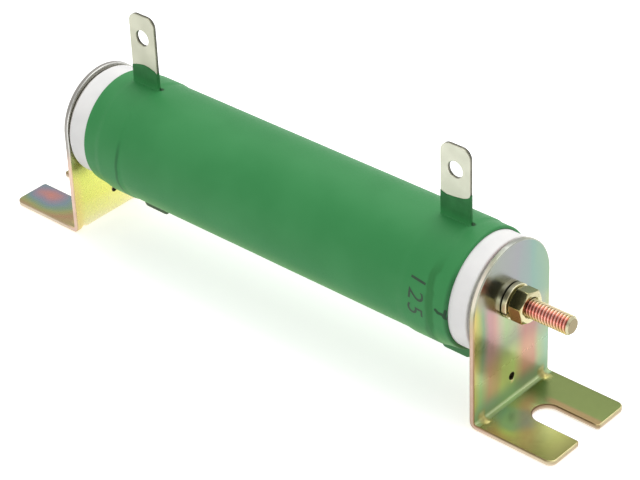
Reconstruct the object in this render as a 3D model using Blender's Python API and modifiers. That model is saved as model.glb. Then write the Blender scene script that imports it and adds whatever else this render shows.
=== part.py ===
"""A coated wire-wound resistor tube, held between two folded feet by one long bolt.

The tube lies along X, with the nut's end at +X and the bolt head's end at -X.
Z points up, and the undersides of both feet lie at Z = 0.
The origin is midway between the feet, on the surface that they stand on.
Every length is in metres and every angle in degrees.
"""

import math

import bmesh
import bpy
from mathutils import Matrix, Vector

# Overall places
PLATE_SPAN = 0.135            # between the inner faces of the two upright plates
BOLT_HEIGHT = 0.030           # bolt axis above the surface

# Folded sheet-steel brackets
BRACKET_SIDE_INSET = 0.0003   # the bracket is this much narrower than the tube on each side
SHEET_THICKNESS = 0.0014
BEND_INNER_RADIUS = 0.0006
PLATE_TOP_RISE = 0.0008       # centre of the plate's round top above the bolt axis
FOOT_LENGTH = 0.0232          # from the plate's outer face to the foot's end
FOOT_CORNER_RADIUS = 0.0020
SLOT_WIDTH = 0.0074
SLOT_INSET = 0.0072           # from the plate's outer face to the slot's closed end
SLOT_MOUTH_RADIUS = 0.0008
PLATING_HOLE_RADIUS = 0.0008
PLATING_HOLE_HEIGHT = 0.0076
DART_FROM_EDGE = 0.0030       # pressed darts that stiffen the fold, from the side edges
DART_RADIUS = 0.0009
DART_REACH = 0.0013           # from the fold's corner to a dart's middle line, up or along
DART_DENT_RADIUS = 0.0007
DART_DENT_DEPTH = 0.0004

# Ceramic tube and the insulating washers at its ends
CORE_RADIUS = 0.0149
CORE_BORE_RADIUS = 0.0090
CORE_CHAMFER = 0.0004
INSULATOR_THICKNESS = 0.0005
INSULATOR_INSET = 0.0007      # the washer's edge lies this far inside the tube's rim

# Drawn cups that centre the tube on the bolt
CUP_SHEET = 0.0008
CUP_DEPTH = 0.0034
CUP_CORNER_RADIUS = 0.0012

# Resistance ribbon
RIBBON_WIDTH = 0.0018
RIBBON_THICKNESS = 0.00025
RIBBON_TURNS = 15

# Terminals: two half-straps around the tube make a lug above it and a tab below it
STRAP_WIDTH = 0.0088
STRAP_THICKNESS = 0.0004
STRAP_FILLET_RADIUS = 0.0010
NUT_STRAP_MARGIN = 0.0050     # from the coating's end to the strap's edge
HEAD_STRAP_MARGIN = 0.0051
LUG_LENGTH = 0.02015          # lug's top above the coating's raised band
LUG_CORNER_RADIUS = 0.0026
LUG_HOLE_RADIUS = 0.00225
LUG_HOLE_FROM_TOP = 0.0065
TAB_LENGTH = 0.00685          # lower tab's tip below the same band
TAB_CORNER_RADIUS = 0.0012

# Green coating
COATING_WALL = 0.00025        # over the ribbon
STRAP_COVER = 0.00035         # over the straps, which show as raised bands
COVER_RAMP = 0.0008
COATING_EDGE_RADIUS = 0.0004
NUT_BARE_LENGTH = 0.0060      # bare ceramic between the coating and the plate
HEAD_BARE_LENGTH = 0.0071
COLLAR_RISE = 0.0008          # bead around each lug's and tab's root
COLLAR_FOOT = 0.0006          # how far the bead's foot stands out from the lug's slot
COLLAR_TOP = 0.0003
SLEEVE_RISE = 0.0058          # the coating climbs this far up each lug
SLEEVE_WALL = 0.00025

# Bolt, nut and spring washer, metric size 5
BOLT_RADIUS = 0.00245
BOLT_REACH = 0.0177           # from the plate's outer face to the bolt's end
BOLT_END_CHAMFER = 0.0006
HEX_ACROSS_FLATS = 0.0080
HEX_FACE_SHARE = 0.95         # the chamfer's circle as a share of the width across flats
HEX_CHAMFER_ANGLE = 30.0
HEAD_HEIGHT = 0.0035
NUT_HEIGHT = 0.0040
NUT_TURN = -17.0              # how the nut stands on the bolt
WASHER_RADIAL_WIDTH = 0.0019
WASHER_THICKNESS = 0.0011
WASHER_RISE = 0.0002          # offset between the two ends at the split
WASHER_SPLIT_ANGLE = 9.0
WASHER_SPLIT_PLACE = 252.0

# Clearances
LAYER_GAP = 0.00015           # between the thin layers around the tube
SEAT_GAP = 0.0002             # between stacked or seated faces
THREAD_GAP = 0.00015
HOLE_GAP = 0.0003             # around the bolt in plain holes

# How finely round forms are divided
ROUND_STEPS = 60
SMALL_STEPS = 30
ARC_STEPS = 6
MERGE_DISTANCE = 0.000005
CUT_MARGIN = 0.002            # how far a cutter runs past what it cuts

# Places worked out from the sizes above
BRACKET_WIDTH = 2 * (CORE_RADIUS - BRACKET_SIDE_INSET)
HALF_SPAN = PLATE_SPAN / 2
PLATE_OUTER = HALF_SPAN + SHEET_THICKNESS
CORE_HALF = HALF_SPAN - 2 * SEAT_GAP - INSULATOR_THICKNESS
NUT_COATING_X = HALF_SPAN - NUT_BARE_LENGTH
HEAD_COATING_X = -HALF_SPAN + HEAD_BARE_LENGTH
NUT_STRAP_X = NUT_COATING_X - NUT_STRAP_MARGIN - STRAP_WIDTH / 2
HEAD_STRAP_X = HEAD_COATING_X + HEAD_STRAP_MARGIN + STRAP_WIDTH / 2
LAYER_SEAT = CORE_RADIUS + LAYER_GAP
RIBBON_OUTER = LAYER_SEAT + RIBBON_THICKNESS
STRAP_OUTER = LAYER_SEAT + STRAP_THICKNESS
COATING_RADIUS = RIBBON_OUTER + LAYER_GAP + COATING_WALL
COVER_RADIUS = STRAP_OUTER + LAYER_GAP + STRAP_COVER
LUG_REACH = COVER_RADIUS + LUG_LENGTH
TAB_REACH = COVER_RADIUS + TAB_LENGTH
LUG_OFFSET = (LAYER_GAP + STRAP_THICKNESS) / 2
LUG_SLOT_HALF = LUG_OFFSET + STRAP_THICKNESS / 2 + LAYER_GAP
BOLT_HOLE_RADIUS = BOLT_RADIUS + HOLE_GAP
CUP_RADIUS = CORE_BORE_RADIUS - SEAT_GAP
NUT_X = PLATE_OUTER + 2 * SEAT_GAP + WASHER_THICKNESS + WASHER_RISE
HEX_CORNER_RADIUS = HEX_ACROSS_FLATS / math.sqrt(3)
PLATE_TOP = BOLT_HEIGHT + PLATE_TOP_RISE + BRACKET_WIDTH / 2

# Turns an object's own Z axis to lie along the tube
ALONG_X = (0.0, math.radians(90), 0.0)


def fresh_collection(name):
    """An empty collection in the scene."""
    collection = bpy.data.collections.new(name)
    bpy.context.scene.collection.children.link(collection)
    return collection


def clear_scene():
    for thing in list(bpy.data.objects):
        bpy.data.objects.remove(thing, do_unlink=True)


clear_scene()
PARTS = fresh_collection("power_resistor")
CUTTERS = fresh_collection("cutters")


def material(name, colour, roughness, metallic=0.0):
    """A plain Principled material."""
    made = bpy.data.materials.new(name)
    made.use_nodes = True
    shader = made.node_tree.nodes["Principled BSDF"]
    shader.inputs["Base Color"].default_value = (*colour, 1.0)
    shader.inputs["Roughness"].default_value = roughness
    shader.inputs["Metallic"].default_value = metallic
    return made


CERAMIC = material("white_ceramic", (0.80, 0.80, 0.78), 0.55)
RIBBON_ALLOY = material("resistance_alloy", (0.36, 0.34, 0.32), 0.35, 1.0)
GREEN_CEMENT = material("green_cement", (0.06, 0.27, 0.10), 0.60)
TINNED_STRIP = material("tinned_strip", (0.62, 0.60, 0.53), 0.30, 1.0)
YELLOW_ZINC = material("yellow_zinc", (0.62, 0.56, 0.33), 0.22, 1.0)
MICA = material("mica", (0.42, 0.40, 0.36), 0.50)
BRIGHT_ZINC = material("bright_zinc", (0.55, 0.55, 0.52), 0.30, 1.0)
BOLT_ZINC = material("bolt_zinc", (0.62, 0.36, 0.26), 0.28, 1.0)


def object_from(name, mesh, collection, finish=None):
    """A new object that shows a mesh."""
    made = bpy.data.objects.new(name, mesh)
    collection.objects.link(made)
    if finish:
        mesh.materials.append(finish)
    if collection is CUTTERS:
        made.hide_render = True
        made.display_type = "WIRE"
    return made


def mesh_from(name, bm):
    """Turns a finished bmesh into a mesh."""
    mesh = bpy.data.meshes.new(name)
    bm.to_mesh(mesh)
    bm.free()
    return mesh


def arc(centre, radius, start, end, steps):
    """Points along a circular arc, both ends included."""
    angles = [math.radians(start + (end - start) * i / steps) for i in range(steps + 1)]
    return [(centre[0] + radius * math.cos(a), centre[1] + radius * math.sin(a)) for a in angles]


def turned(name, profile, collection, finish=None, steps=SMALL_STEPS, closed=True):
    """A profile of (radius, height) points turned about Z. A closed profile makes a ring."""
    bm = bmesh.new()
    points = [bm.verts.new((radius, 0.0, height)) for radius, height in profile]
    ends = points[1:] + points[:1] if closed else points[1:]
    for a, b in zip(points, ends):
        bm.edges.new((a, b))
    made = object_from(name, mesh_from(name, bm), collection, finish)
    screw = made.modifiers.new("turn", "SCREW")
    screw.axis = "Z"
    screw.steps = steps
    screw.render_steps = steps
    screw.use_merge_vertices = True
    screw.merge_threshold = MERGE_DISTANCE
    return made


def ring(name, outer, inner, low, high, collection, finish=None, steps=SMALL_STEPS, chamfer=0.0):
    """A turned ring between two heights, with an optional chamfer on its four edges."""
    if chamfer:
        profile = [(outer - chamfer, high), (outer, high - chamfer), (outer, low + chamfer),
                   (outer - chamfer, low), (inner + chamfer, low), (inner, low + chamfer),
                   (inner, high - chamfer), (inner + chamfer, high)]
    else:
        profile = [(outer, high), (outer, low), (inner, low), (inner, high)]
    return turned(name, profile, collection, finish, steps)


def rod(name, radius, length, steps=SMALL_STEPS):
    """A round cutter, centred on the origin and lying along Z."""
    bm = bmesh.new()
    bmesh.ops.create_cone(bm, cap_ends=True, segments=steps,
                          radius1=radius, radius2=radius, depth=length)
    return object_from(name, mesh_from(name, bm), CUTTERS)


def flat_piece(name, outline, thickness, collection):
    """A flat outline in XY, given a thickness about Z = 0 and made a mesh."""
    curve = bpy.data.curves.new(name, "CURVE")
    curve.dimensions = "2D"
    curve.fill_mode = "BOTH"
    curve.extrude = thickness / 2
    spline = curve.splines.new("POLY")
    spline.points.add(len(outline) - 1)
    for point, (x, y) in zip(spline.points, outline):
        point.co = (x, y, 0.0, 1.0)
    spline.use_cyclic_u = True
    guide = bpy.data.objects.new(name + "_guide", curve)
    bpy.context.scene.collection.objects.link(guide)
    bpy.context.view_layer.update()
    evaluated = guide.evaluated_get(bpy.context.evaluated_depsgraph_get())
    bm = bmesh.new()
    bm.from_mesh(bpy.data.meshes.new_from_object(evaluated))
    bmesh.ops.remove_doubles(bm, verts=bm.verts, dist=MERGE_DISTANCE)
    bmesh.ops.recalc_face_normals(bm, faces=bm.faces)
    bpy.data.objects.remove(guide, do_unlink=True)
    return object_from(name, mesh_from(name, bm), collection)


def boolean(target, operand, operation):
    """Cuts, joins or intersects an object with another, and leaves the modifier on it."""
    modifier = target.modifiers.new(operation.lower(), "BOOLEAN")
    modifier.operation = operation
    modifier.solver = "EXACT"
    modifier.object = operand


def settle(part):
    """Gives a part the mesh that its modifiers make, smooth between its sharp edges."""
    bpy.context.view_layer.update()
    evaluated = part.evaluated_get(bpy.context.evaluated_depsgraph_get())
    mesh = bpy.data.meshes.new_from_object(evaluated)
    mesh.name = part.name
    mesh.shade_smooth()
    mesh.set_sharp_from_angle(angle=math.radians(30))
    part.modifiers.clear()
    part.data = mesh
    return part


def place(part, x=0.0, turn=0.0):
    """Lays a turned part along the tube's axis, with its own origin at x."""
    along = Matrix.Rotation(math.radians(90), 4, "Y")
    spin = Matrix.Rotation(math.radians(turn), 4, "Z")
    part.matrix_world = Matrix.Translation((x, 0.0, BOLT_HEIGHT)) @ along @ spin
    return part


def strip(name, path, half_width, corner_radii, axis, finish):
    """A sheet's middle surface: a path swept along an axis, with its four corners rounded.

    The path's points are (across, up). The sweep runs along the remaining axis.
    The first radius rounds the corners at the path's start, the second those at its end.
    """
    def corner(across, up, along):
        return Vector((along, across, up)) if axis == "X" else Vector((across, along, up))

    bm = bmesh.new()
    line = [bm.verts.new(corner(across, up, -half_width)) for across, up in path]
    edges = [bm.edges.new(pair) for pair in zip(line, line[1:])]
    swept = bmesh.ops.extrude_edge_only(bm, edges=edges)["geom"]
    moved = [part for part in swept if isinstance(part, bmesh.types.BMVert)]
    bmesh.ops.translate(bm, verts=moved, vec=corner(0.0, 0.0, 2 * half_width))
    start, end = (corner(*path[0], 0.0), corner(*path[-1], 0.0))
    for place_at, radius in zip((start, end), corner_radii):
        reach = half_width + MERGE_DISTANCE
        corners = [v for v in bm.verts if (v.co - place_at).length < reach]
        steps = max(ARC_STEPS, round(ROUND_STEPS / 4 * radius / half_width))
        bmesh.ops.bevel(bm, geom=corners, offset=radius, offset_type="OFFSET",
                        segments=steps, profile=0.5, affect="VERTICES", clamp_overlap=False)
    bmesh.ops.remove_doubles(bm, verts=bm.verts, dist=MERGE_DISTANCE)
    return object_from(name, mesh_from(name, bm), PARTS, finish)


def thicken(part, thickness, offset=0.0):
    """Gives an open surface its sheet thickness."""
    solidify = part.modifiers.new("sheet", "SOLIDIFY")
    solidify.thickness = thickness
    solidify.offset = offset
    solidify.use_even_offset = True
    solidify.use_quality_normals = True


def bracket_path():
    """The bracket's middle surface from the plate's top to the foot's end, as (x, z)."""
    middle = SHEET_THICKNESS / 2
    bend = BEND_INNER_RADIUS + SHEET_THICKNESS
    fold = arc((bend, bend), BEND_INNER_RADIUS + middle, 180, 270, ARC_STEPS)
    return [(middle, PLATE_TOP)] + fold + [(SHEET_THICKNESS + FOOT_LENGTH, middle)]


def slot_outline():
    """The foot's open slot: a round inner end, straight sides and a rounded mouth."""
    half = SLOT_WIDTH / 2
    foot_end = SHEET_THICKNESS + FOOT_LENGTH
    closed_end = SHEET_THICKNESS + SLOT_INSET
    inner = arc((closed_end + half, 0.0), half, 90, 270, 2 * ARC_STEPS)
    mouth_centre = (foot_end - SLOT_MOUTH_RADIUS, -half - SLOT_MOUTH_RADIUS)
    mouth = arc(mouth_centre, SLOT_MOUTH_RADIUS, 90, 0, ARC_STEPS)
    beyond = [(foot_end + CUT_MARGIN, mouth[-1][1]), (foot_end + CUT_MARGIN, -mouth[-1][1])]
    return inner + mouth + beyond + [(x, -y) for x, y in reversed(mouth)]


def dart_rod(name, side, radius, corner, reach, length):
    """A rod laid across the fold at 45 degrees, its middle line reach away from a corner."""
    made = rod(name, radius, length, 4 * ARC_STEPS)
    across = side * (BRACKET_WIDTH / 2 - DART_FROM_EDGE)
    middle = Vector((corner + reach / 2, across, corner + reach / 2))
    slope = Matrix.Rotation(math.radians(-45), 4, "Y")
    made.matrix_world = Matrix.Translation(middle) @ slope
    return made


def bracket():
    """One bracket, with its plate's inner face at X = 0 and its foot towards +X."""
    made = strip("nut_end_bracket", bracket_path(), BRACKET_WIDTH / 2,
                 (BRACKET_WIDTH / 2, FOOT_CORNER_RADIUS), "Y", YELLOW_ZINC)
    thicken(made, SHEET_THICKNESS)

    slot = flat_piece("slot_cutter", slot_outline(), 2 * CUT_MARGIN + SHEET_THICKNESS, CUTTERS)
    boolean(made, slot, "DIFFERENCE")

    holes = ((BOLT_HEIGHT, BOLT_HOLE_RADIUS, "bolt_hole_cutter"),
             (PLATING_HOLE_HEIGHT, PLATING_HOLE_RADIUS, "plating_hole_cutter"))
    for height, radius, name in holes:
        hole = rod(name, radius, 2 * (CUT_MARGIN + SHEET_THICKNESS))
        hole.location = (SHEET_THICKNESS / 2, 0.0, height)
        hole.rotation_euler = ALONG_X
        boolean(made, hole, "DIFFERENCE")

    # The surface of the bend lies this far from the sharp corner of its outer faces
    bend_from_corner = (math.sqrt(2) - 1) * (BEND_INNER_RADIUS + SHEET_THICKNESS)
    dent_axis = bend_from_corner + DART_DENT_DEPTH - DART_DENT_RADIUS
    for side, word in ((-1, "front"), (1, "back")):
        rib = dart_rod(f"dart_rib_{word}", side, DART_RADIUS, SHEET_THICKNESS,
                       DART_REACH, DART_REACH * math.sqrt(2) + 2 * DART_RADIUS)
        boolean(made, rib, "UNION")
        dent = dart_rod(f"dart_dent_{word}", side, DART_DENT_RADIUS, 0.0,
                        dent_axis * math.sqrt(2), 4 * DART_REACH)
        boolean(made, dent, "DIFFERENCE")
    return settle(made)


def shoulder_centre():
    """Centre of the round between a strap's ring and its lug, as (across, up)."""
    across = LUG_OFFSET + STRAP_FILLET_RADIUS
    reach = LAYER_SEAT + STRAP_THICKNESS / 2 + STRAP_FILLET_RADIUS
    return across, math.sqrt(reach ** 2 - across ** 2)


def strap_path():
    """The front half-strap's middle surface from lug to tab, as (y, z) from the bolt axis."""
    across, up = shoulder_centre()
    lean = math.degrees(math.atan2(across, up))
    shoulder = arc((-across, up), STRAP_FILLET_RADIUS, 0, -90 + lean, ARC_STEPS)
    around = arc((0.0, 0.0), LAYER_SEAT + STRAP_THICKNESS / 2, 90 + lean, 270 - lean,
                 ROUND_STEPS // 2)
    below = [(y, -z) for y, z in reversed(shoulder)]
    return [(-LUG_OFFSET, LUG_REACH)] + shoulder + around[1:-1] + below + [(-LUG_OFFSET, -TAB_REACH)]


def strap():
    """The front half-strap, on the tube's axis at X = 0."""
    made = strip("nut_end_front_strap", strap_path(), STRAP_WIDTH / 2,
                 (LUG_CORNER_RADIUS, TAB_CORNER_RADIUS), "X", TINNED_STRIP)
    thicken(made, STRAP_THICKNESS)
    hole = rod("lug_hole_cutter", LUG_HOLE_RADIUS, 2 * CUT_MARGIN)
    hole.location = (0.0, 0.0, LUG_REACH - LUG_HOLE_FROM_TOP)
    hole.rotation_euler = (math.radians(90), 0.0, 0.0)
    boolean(made, hole, "DIFFERENCE")
    return settle(made)


def cover_bump(middle):
    """The coating's raised band over a strap, as (radius, x) from the nut's side down."""
    half = STRAP_WIDTH / 2 + LAYER_GAP
    rise = COVER_RADIUS - COATING_RADIUS
    up = []
    for share in (0.0, 0.5, 1.0):
        lift = rise * (1 - math.cos(math.pi * share)) / 2
        up.append((COATING_RADIUS + lift, half + COVER_RAMP * (1 - share)))
    down = [(radius, -offset) for radius, offset in reversed(up)]
    return [(radius, middle + offset) for radius, offset in up + down]


def coating_profile():
    """The coating's section: its outside from the nut's end down, then its inside back up."""
    edge = COATING_EDGE_RADIUS
    nut_edge = arc((COATING_RADIUS - edge, NUT_COATING_X - edge), edge, 90, 0, ARC_STEPS // 3)
    head_edge = arc((COATING_RADIUS - edge, HEAD_COATING_X + edge), edge, 0, -90, ARC_STEPS // 3)
    outside = nut_edge + cover_bump(NUT_STRAP_X) + cover_bump(HEAD_STRAP_X) + head_edge
    half = STRAP_WIDTH / 2 + LAYER_GAP
    over_strap = STRAP_OUTER + LAYER_GAP
    over_ribbon = RIBBON_OUTER + LAYER_GAP
    inside = [(LAYER_SEAT, HEAD_COATING_X), (LAYER_SEAT, HEAD_STRAP_X - half),
              (over_strap, HEAD_STRAP_X - half), (over_strap, HEAD_STRAP_X + half),
              (over_ribbon, HEAD_STRAP_X + half), (over_ribbon, NUT_STRAP_X - half),
              (over_strap, NUT_STRAP_X - half), (over_strap, NUT_STRAP_X + half),
              (LAYER_SEAT, NUT_STRAP_X + half), (LAYER_SEAT, NUT_COATING_X)]
    return outside + inside


def lug_slot_outline(top):
    """The slot around a lug's root as (up, across). It follows the strap's shoulder."""
    across, up = shoulder_centre()
    radius = STRAP_FILLET_RADIUS - STRAP_THICKNESS / 2 - LAYER_GAP
    shoulder = [(z, y) for y, z in arc((across, up), radius, 255, 180, ARC_STEPS // 2)]
    one_side = [(STRAP_OUTER, shoulder[0][1])] + shoulder + [(top, LUG_SLOT_HALF)]
    return one_side + [(z, -y) for z, y in reversed(one_side)]


def climbing_block(name, rise, foot, top):
    """Coating around a lug, rising along +X from the strap, its walls given below and above."""
    low = STRAP_OUTER
    high = COVER_RADIUS + rise
    bm = bmesh.new()
    bmesh.ops.create_cube(bm, size=2.0)
    for vertex in bm.verts:
        above = vertex.co.z > 0
        wall = LAYER_GAP + (top if above else foot)
        vertex.co = Vector((high if above else low,
                            math.copysign(LUG_SLOT_HALF - LAYER_GAP + wall, vertex.co.y),
                            math.copysign(STRAP_WIDTH / 2 + wall, -vertex.co.x)))
    return object_from(name, mesh_from(name, bm), CUTTERS)


def coating():
    """The green skin, on the tube's axis, with its own Z along the tube."""
    made = turned("green_coating", coating_profile(), PARTS, GREEN_CEMENT, ROUND_STEPS)
    slot_length = STRAP_WIDTH + 2 * LAYER_GAP
    top = COVER_RADIUS + SLEEVE_RISE + CUT_MARGIN
    roots = [(x, turn, word) for x, word in ((NUT_STRAP_X, "nut"), (HEAD_STRAP_X, "head"))
             for turn in (180, 0)]
    for x, turn, word in roots:
        spin = Matrix.Translation((0.0, 0.0, x)) @ Matrix.Rotation(math.radians(turn), 4, "Z")
        collar = climbing_block(f"{word}_collar_{turn}", COLLAR_RISE, COLLAR_FOOT, COLLAR_TOP)
        sleeve = climbing_block(f"{word}_sleeve_{turn}", SLEEVE_RISE, SLEEVE_WALL, SLEEVE_WALL)
        slot = flat_piece(f"{word}_lug_slot_{turn}", lug_slot_outline(top), slot_length, CUTTERS)
        for cutter in (collar, sleeve, slot):
            cutter.matrix_world = spin
            boolean(made, cutter, "DIFFERENCE" if cutter is slot else "UNION")
    return place(settle(made))


def winding():
    """The resistance ribbon, a flat section carried round the tube as a helix."""
    start = HEAD_STRAP_X + STRAP_WIDTH / 2 + HOLE_GAP
    end = NUT_STRAP_X - STRAP_WIDTH / 2 - HOLE_GAP
    pitch = (end - start - RIBBON_WIDTH) / RIBBON_TURNS
    section = [(RIBBON_OUTER, start + RIBBON_WIDTH), (RIBBON_OUTER, start),
               (LAYER_SEAT, start), (LAYER_SEAT, start + RIBBON_WIDTH)]
    made = turned("resistance_winding", section, PARTS, RIBBON_ALLOY, ROUND_STEPS // 2)
    helix = made.modifiers["turn"]
    helix.screw_offset = pitch
    helix.iterations = RIBBON_TURNS
    return place(close_ends(settle(made)))


def close_ends(part):
    """Fills the open ends of a swept section."""
    bm = bmesh.new()
    bm.from_mesh(part.data)
    bmesh.ops.remove_doubles(bm, verts=bm.verts, dist=MERGE_DISTANCE)
    rims = [edge for edge in bm.edges if edge.is_boundary]
    bmesh.ops.holes_fill(bm, edges=rims, sides=0)
    bmesh.ops.recalc_face_normals(bm, faces=bm.faces)
    bm.to_mesh(part.data)
    bm.free()
    return part


def centring_cup(name):
    """A drawn cup: a flat base around the bolt and a rim inside the tube's bore."""
    middle = CUP_RADIUS - CUP_SHEET / 2
    base = -CUP_SHEET / 2
    corner_centre = (middle - CUP_CORNER_RADIUS, base - CUP_CORNER_RADIUS)
    corner = arc(corner_centre, CUP_CORNER_RADIUS, 90, 0, ARC_STEPS // 3)
    profile = [(BOLT_HOLE_RADIUS, base)] + corner + [(middle, -CUP_DEPTH)]
    made = turned(name, profile, PARTS, BRIGHT_ZINC, closed=False)
    thicken(made, CUP_SHEET)
    return settle(made)


def hexagon(name, height, collection, finish, chamfer_below):
    """A hexagonal prism from Z = 0 up, its corners chamfered above and, if asked, below."""
    bm = bmesh.new()
    bmesh.ops.create_cone(bm, cap_ends=True, segments=6, radius1=HEX_CORNER_RADIUS,
                          radius2=HEX_CORNER_RADIUS, depth=height)
    bmesh.ops.translate(bm, verts=bm.verts, vec=(0.0, 0.0, height / 2))
    made = object_from(name, mesh_from(name, bm), collection, finish)

    face = HEX_FACE_SHARE * HEX_ACROSS_FLATS / 2
    widest = HEX_CORNER_RADIUS + LAYER_GAP
    drop = (widest - face) * math.tan(math.radians(HEX_CHAMFER_ANGLE))
    profile = [(0.0, height), (face, height), (widest, height - drop)]
    foot = [(widest, drop), (face, 0.0)] if chamfer_below else [(widest, 0.0)]
    barrel = turned(name + "_barrel", profile + foot + [(0.0, 0.0)], CUTTERS, closed=False)
    boolean(made, barrel, "INTERSECT")
    return made


def hex_nut():
    """The nut, with its near face at Z = 0."""
    made = hexagon("hex_nut", NUT_HEIGHT, PARTS, YELLOW_ZINC, True)
    bore = rod("nut_bore_cutter", BOLT_RADIUS + THREAD_GAP, NUT_HEIGHT + 2 * CUT_MARGIN)
    bore.location = (0.0, 0.0, NUT_HEIGHT / 2)
    boolean(made, bore, "DIFFERENCE")
    return settle(made)


def through_bolt():
    """The bolt, with the underside of its head at Z = 0 and its shank towards +Z."""
    head_face = -PLATE_OUTER - SEAT_GAP
    length = PLATE_OUTER + BOLT_REACH - head_face
    chamfer = BOLT_END_CHAMFER
    profile = [(0.0, length), (BOLT_RADIUS - chamfer, length), (BOLT_RADIUS, length - chamfer),
               (BOLT_RADIUS, -HEAD_HEIGHT / 2), (0.0, -HEAD_HEIGHT / 2)]
    shank = turned("through_bolt", profile, PARTS, BOLT_ZINC, closed=False)
    head = settle(hexagon("bolt_head", HEAD_HEIGHT, CUTTERS, None, False))
    head.data.transform(Matrix.Rotation(math.radians(180), 4, "X"))
    boolean(shank, head, "UNION")
    return place(settle(shank), head_face)


def spring_washer():
    """The split washer, a square section carried almost once round with a small rise."""
    inner = BOLT_RADIUS + HOLE_GAP
    outer = inner + WASHER_RADIAL_WIDTH
    section = [(outer, WASHER_THICKNESS), (outer, 0.0), (inner, 0.0), (inner, WASHER_THICKNESS)]
    made = turned("spring_washer", section, PARTS, YELLOW_ZINC)
    sweep = made.modifiers["turn"]
    sweep.angle = math.radians(360 - WASHER_SPLIT_ANGLE)
    sweep.screw_offset = WASHER_RISE
    return place(close_ends(settle(made)), PLATE_OUTER + SEAT_GAP, WASHER_SPLIT_PLACE)


def second(original, name):
    """Another object with the same mesh."""
    copy = bpy.data.objects.new(name, original.data)
    PARTS.objects.link(copy)
    return copy


def build():
    place(settle(ring("ceramic_core", CORE_RADIUS, CORE_BORE_RADIUS, -CORE_HALF, CORE_HALF,
                      PARTS, CERAMIC, ROUND_STEPS, CORE_CHAMFER)))
    winding()
    coating()

    half_turn = math.radians(180)
    first_strap = strap()
    straps = ((first_strap, NUT_STRAP_X, 0.0),
              (second(first_strap, "nut_end_back_strap"), NUT_STRAP_X, half_turn),
              (second(first_strap, "head_end_front_strap"), HEAD_STRAP_X, 0.0),
              (second(first_strap, "head_end_back_strap"), HEAD_STRAP_X, half_turn))
    for part, x, turn in straps:
        part.location = (x, 0.0, BOLT_HEIGHT)
        part.rotation_euler = (0.0, 0.0, turn)

    nut_bracket = bracket()
    nut_bracket.location = (HALF_SPAN, 0.0, 0.0)
    head_bracket = second(nut_bracket, "head_end_bracket")
    head_bracket.location = (-HALF_SPAN, 0.0, 0.0)
    head_bracket.rotation_euler = (0.0, 0.0, half_turn)

    insulator = settle(ring("nut_end_insulating_washer", CORE_RADIUS - INSULATOR_INSET,
                            CORE_BORE_RADIUS, 0.0, INSULATOR_THICKNESS, PARTS, MICA))
    place(insulator, CORE_HALF + SEAT_GAP)
    place(second(insulator, "head_end_insulating_washer"), -HALF_SPAN + SEAT_GAP)

    cup = place(centring_cup("nut_end_centring_cup"), HALF_SPAN - SEAT_GAP)
    other_cup = second(cup, "head_end_centring_cup")
    other_cup.matrix_world = Matrix.Rotation(half_turn, 4, "Z") @ cup.matrix_world

    through_bolt()
    spring_washer()
    place(hex_nut(), NUT_X, NUT_TURN)


build()
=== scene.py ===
# %% [markdown]
# # A coated wire-wound resistor on two folded feet
# The object is a ceramic tube with a resistance ribbon wound on it, under a skin of green
# cement. Two folded steel feet hold it, and one long bolt clamps everything together.
# The solid model is loaded first and stays fixed, in metres, with +Z up and the nut's end
# at +X. This script gives each solid its finish, and makes finer pieces for those whose
# threads, rims or soft edges need more than plain facets.

import functools
import math

import bmesh
import bpy
import numpy as np
from mathutils import Matrix, Vector, noise


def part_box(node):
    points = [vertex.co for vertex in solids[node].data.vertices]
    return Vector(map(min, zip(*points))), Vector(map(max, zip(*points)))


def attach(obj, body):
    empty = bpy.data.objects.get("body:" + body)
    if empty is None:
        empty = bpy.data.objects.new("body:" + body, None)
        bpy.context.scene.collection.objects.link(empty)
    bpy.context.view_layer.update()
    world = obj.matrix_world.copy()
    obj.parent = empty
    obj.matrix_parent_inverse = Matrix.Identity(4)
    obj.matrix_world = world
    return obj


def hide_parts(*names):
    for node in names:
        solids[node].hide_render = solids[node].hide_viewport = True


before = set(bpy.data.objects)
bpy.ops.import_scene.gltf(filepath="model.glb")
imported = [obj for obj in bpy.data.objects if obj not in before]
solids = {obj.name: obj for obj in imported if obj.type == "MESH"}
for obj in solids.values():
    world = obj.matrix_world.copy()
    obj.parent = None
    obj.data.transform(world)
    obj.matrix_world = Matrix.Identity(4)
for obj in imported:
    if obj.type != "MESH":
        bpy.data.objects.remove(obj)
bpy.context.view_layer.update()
MM = 0.001

# %% [markdown]
# ## Camera
# The photograph looks down on the nut's end from the front right, with a long lens from
# about 0.6 m. The camera could be aimed by a constraint, but its slight roll is easier to
# keep when its three axes are worked out and written into its matrix.

# %% Camera
CAMERA_AZIMUTH = math.radians(42.884)
CAMERA_ELEVATION = math.radians(33.402)
CAMERA_ROLL = math.radians(-2.407)
CAMERA_AIM = Vector((7.954, 0.0, 21.633)) * MM
CAMERA_DISTANCE = 610.75 * MM
SENSOR_WIDTH, LENS = 36, 136.62

towards_camera = Vector((math.sin(CAMERA_AZIMUTH) * math.cos(CAMERA_ELEVATION),
                         -math.cos(CAMERA_AZIMUTH) * math.cos(CAMERA_ELEVATION),
                         math.sin(CAMERA_ELEVATION)))
level = (-towards_camera).cross(Vector((0, 0, 1))).normalized()
upright = level.cross(-towards_camera)
across = math.cos(CAMERA_ROLL) * level + math.sin(CAMERA_ROLL) * upright
upwards = math.cos(CAMERA_ROLL) * upright - math.sin(CAMERA_ROLL) * level

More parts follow.
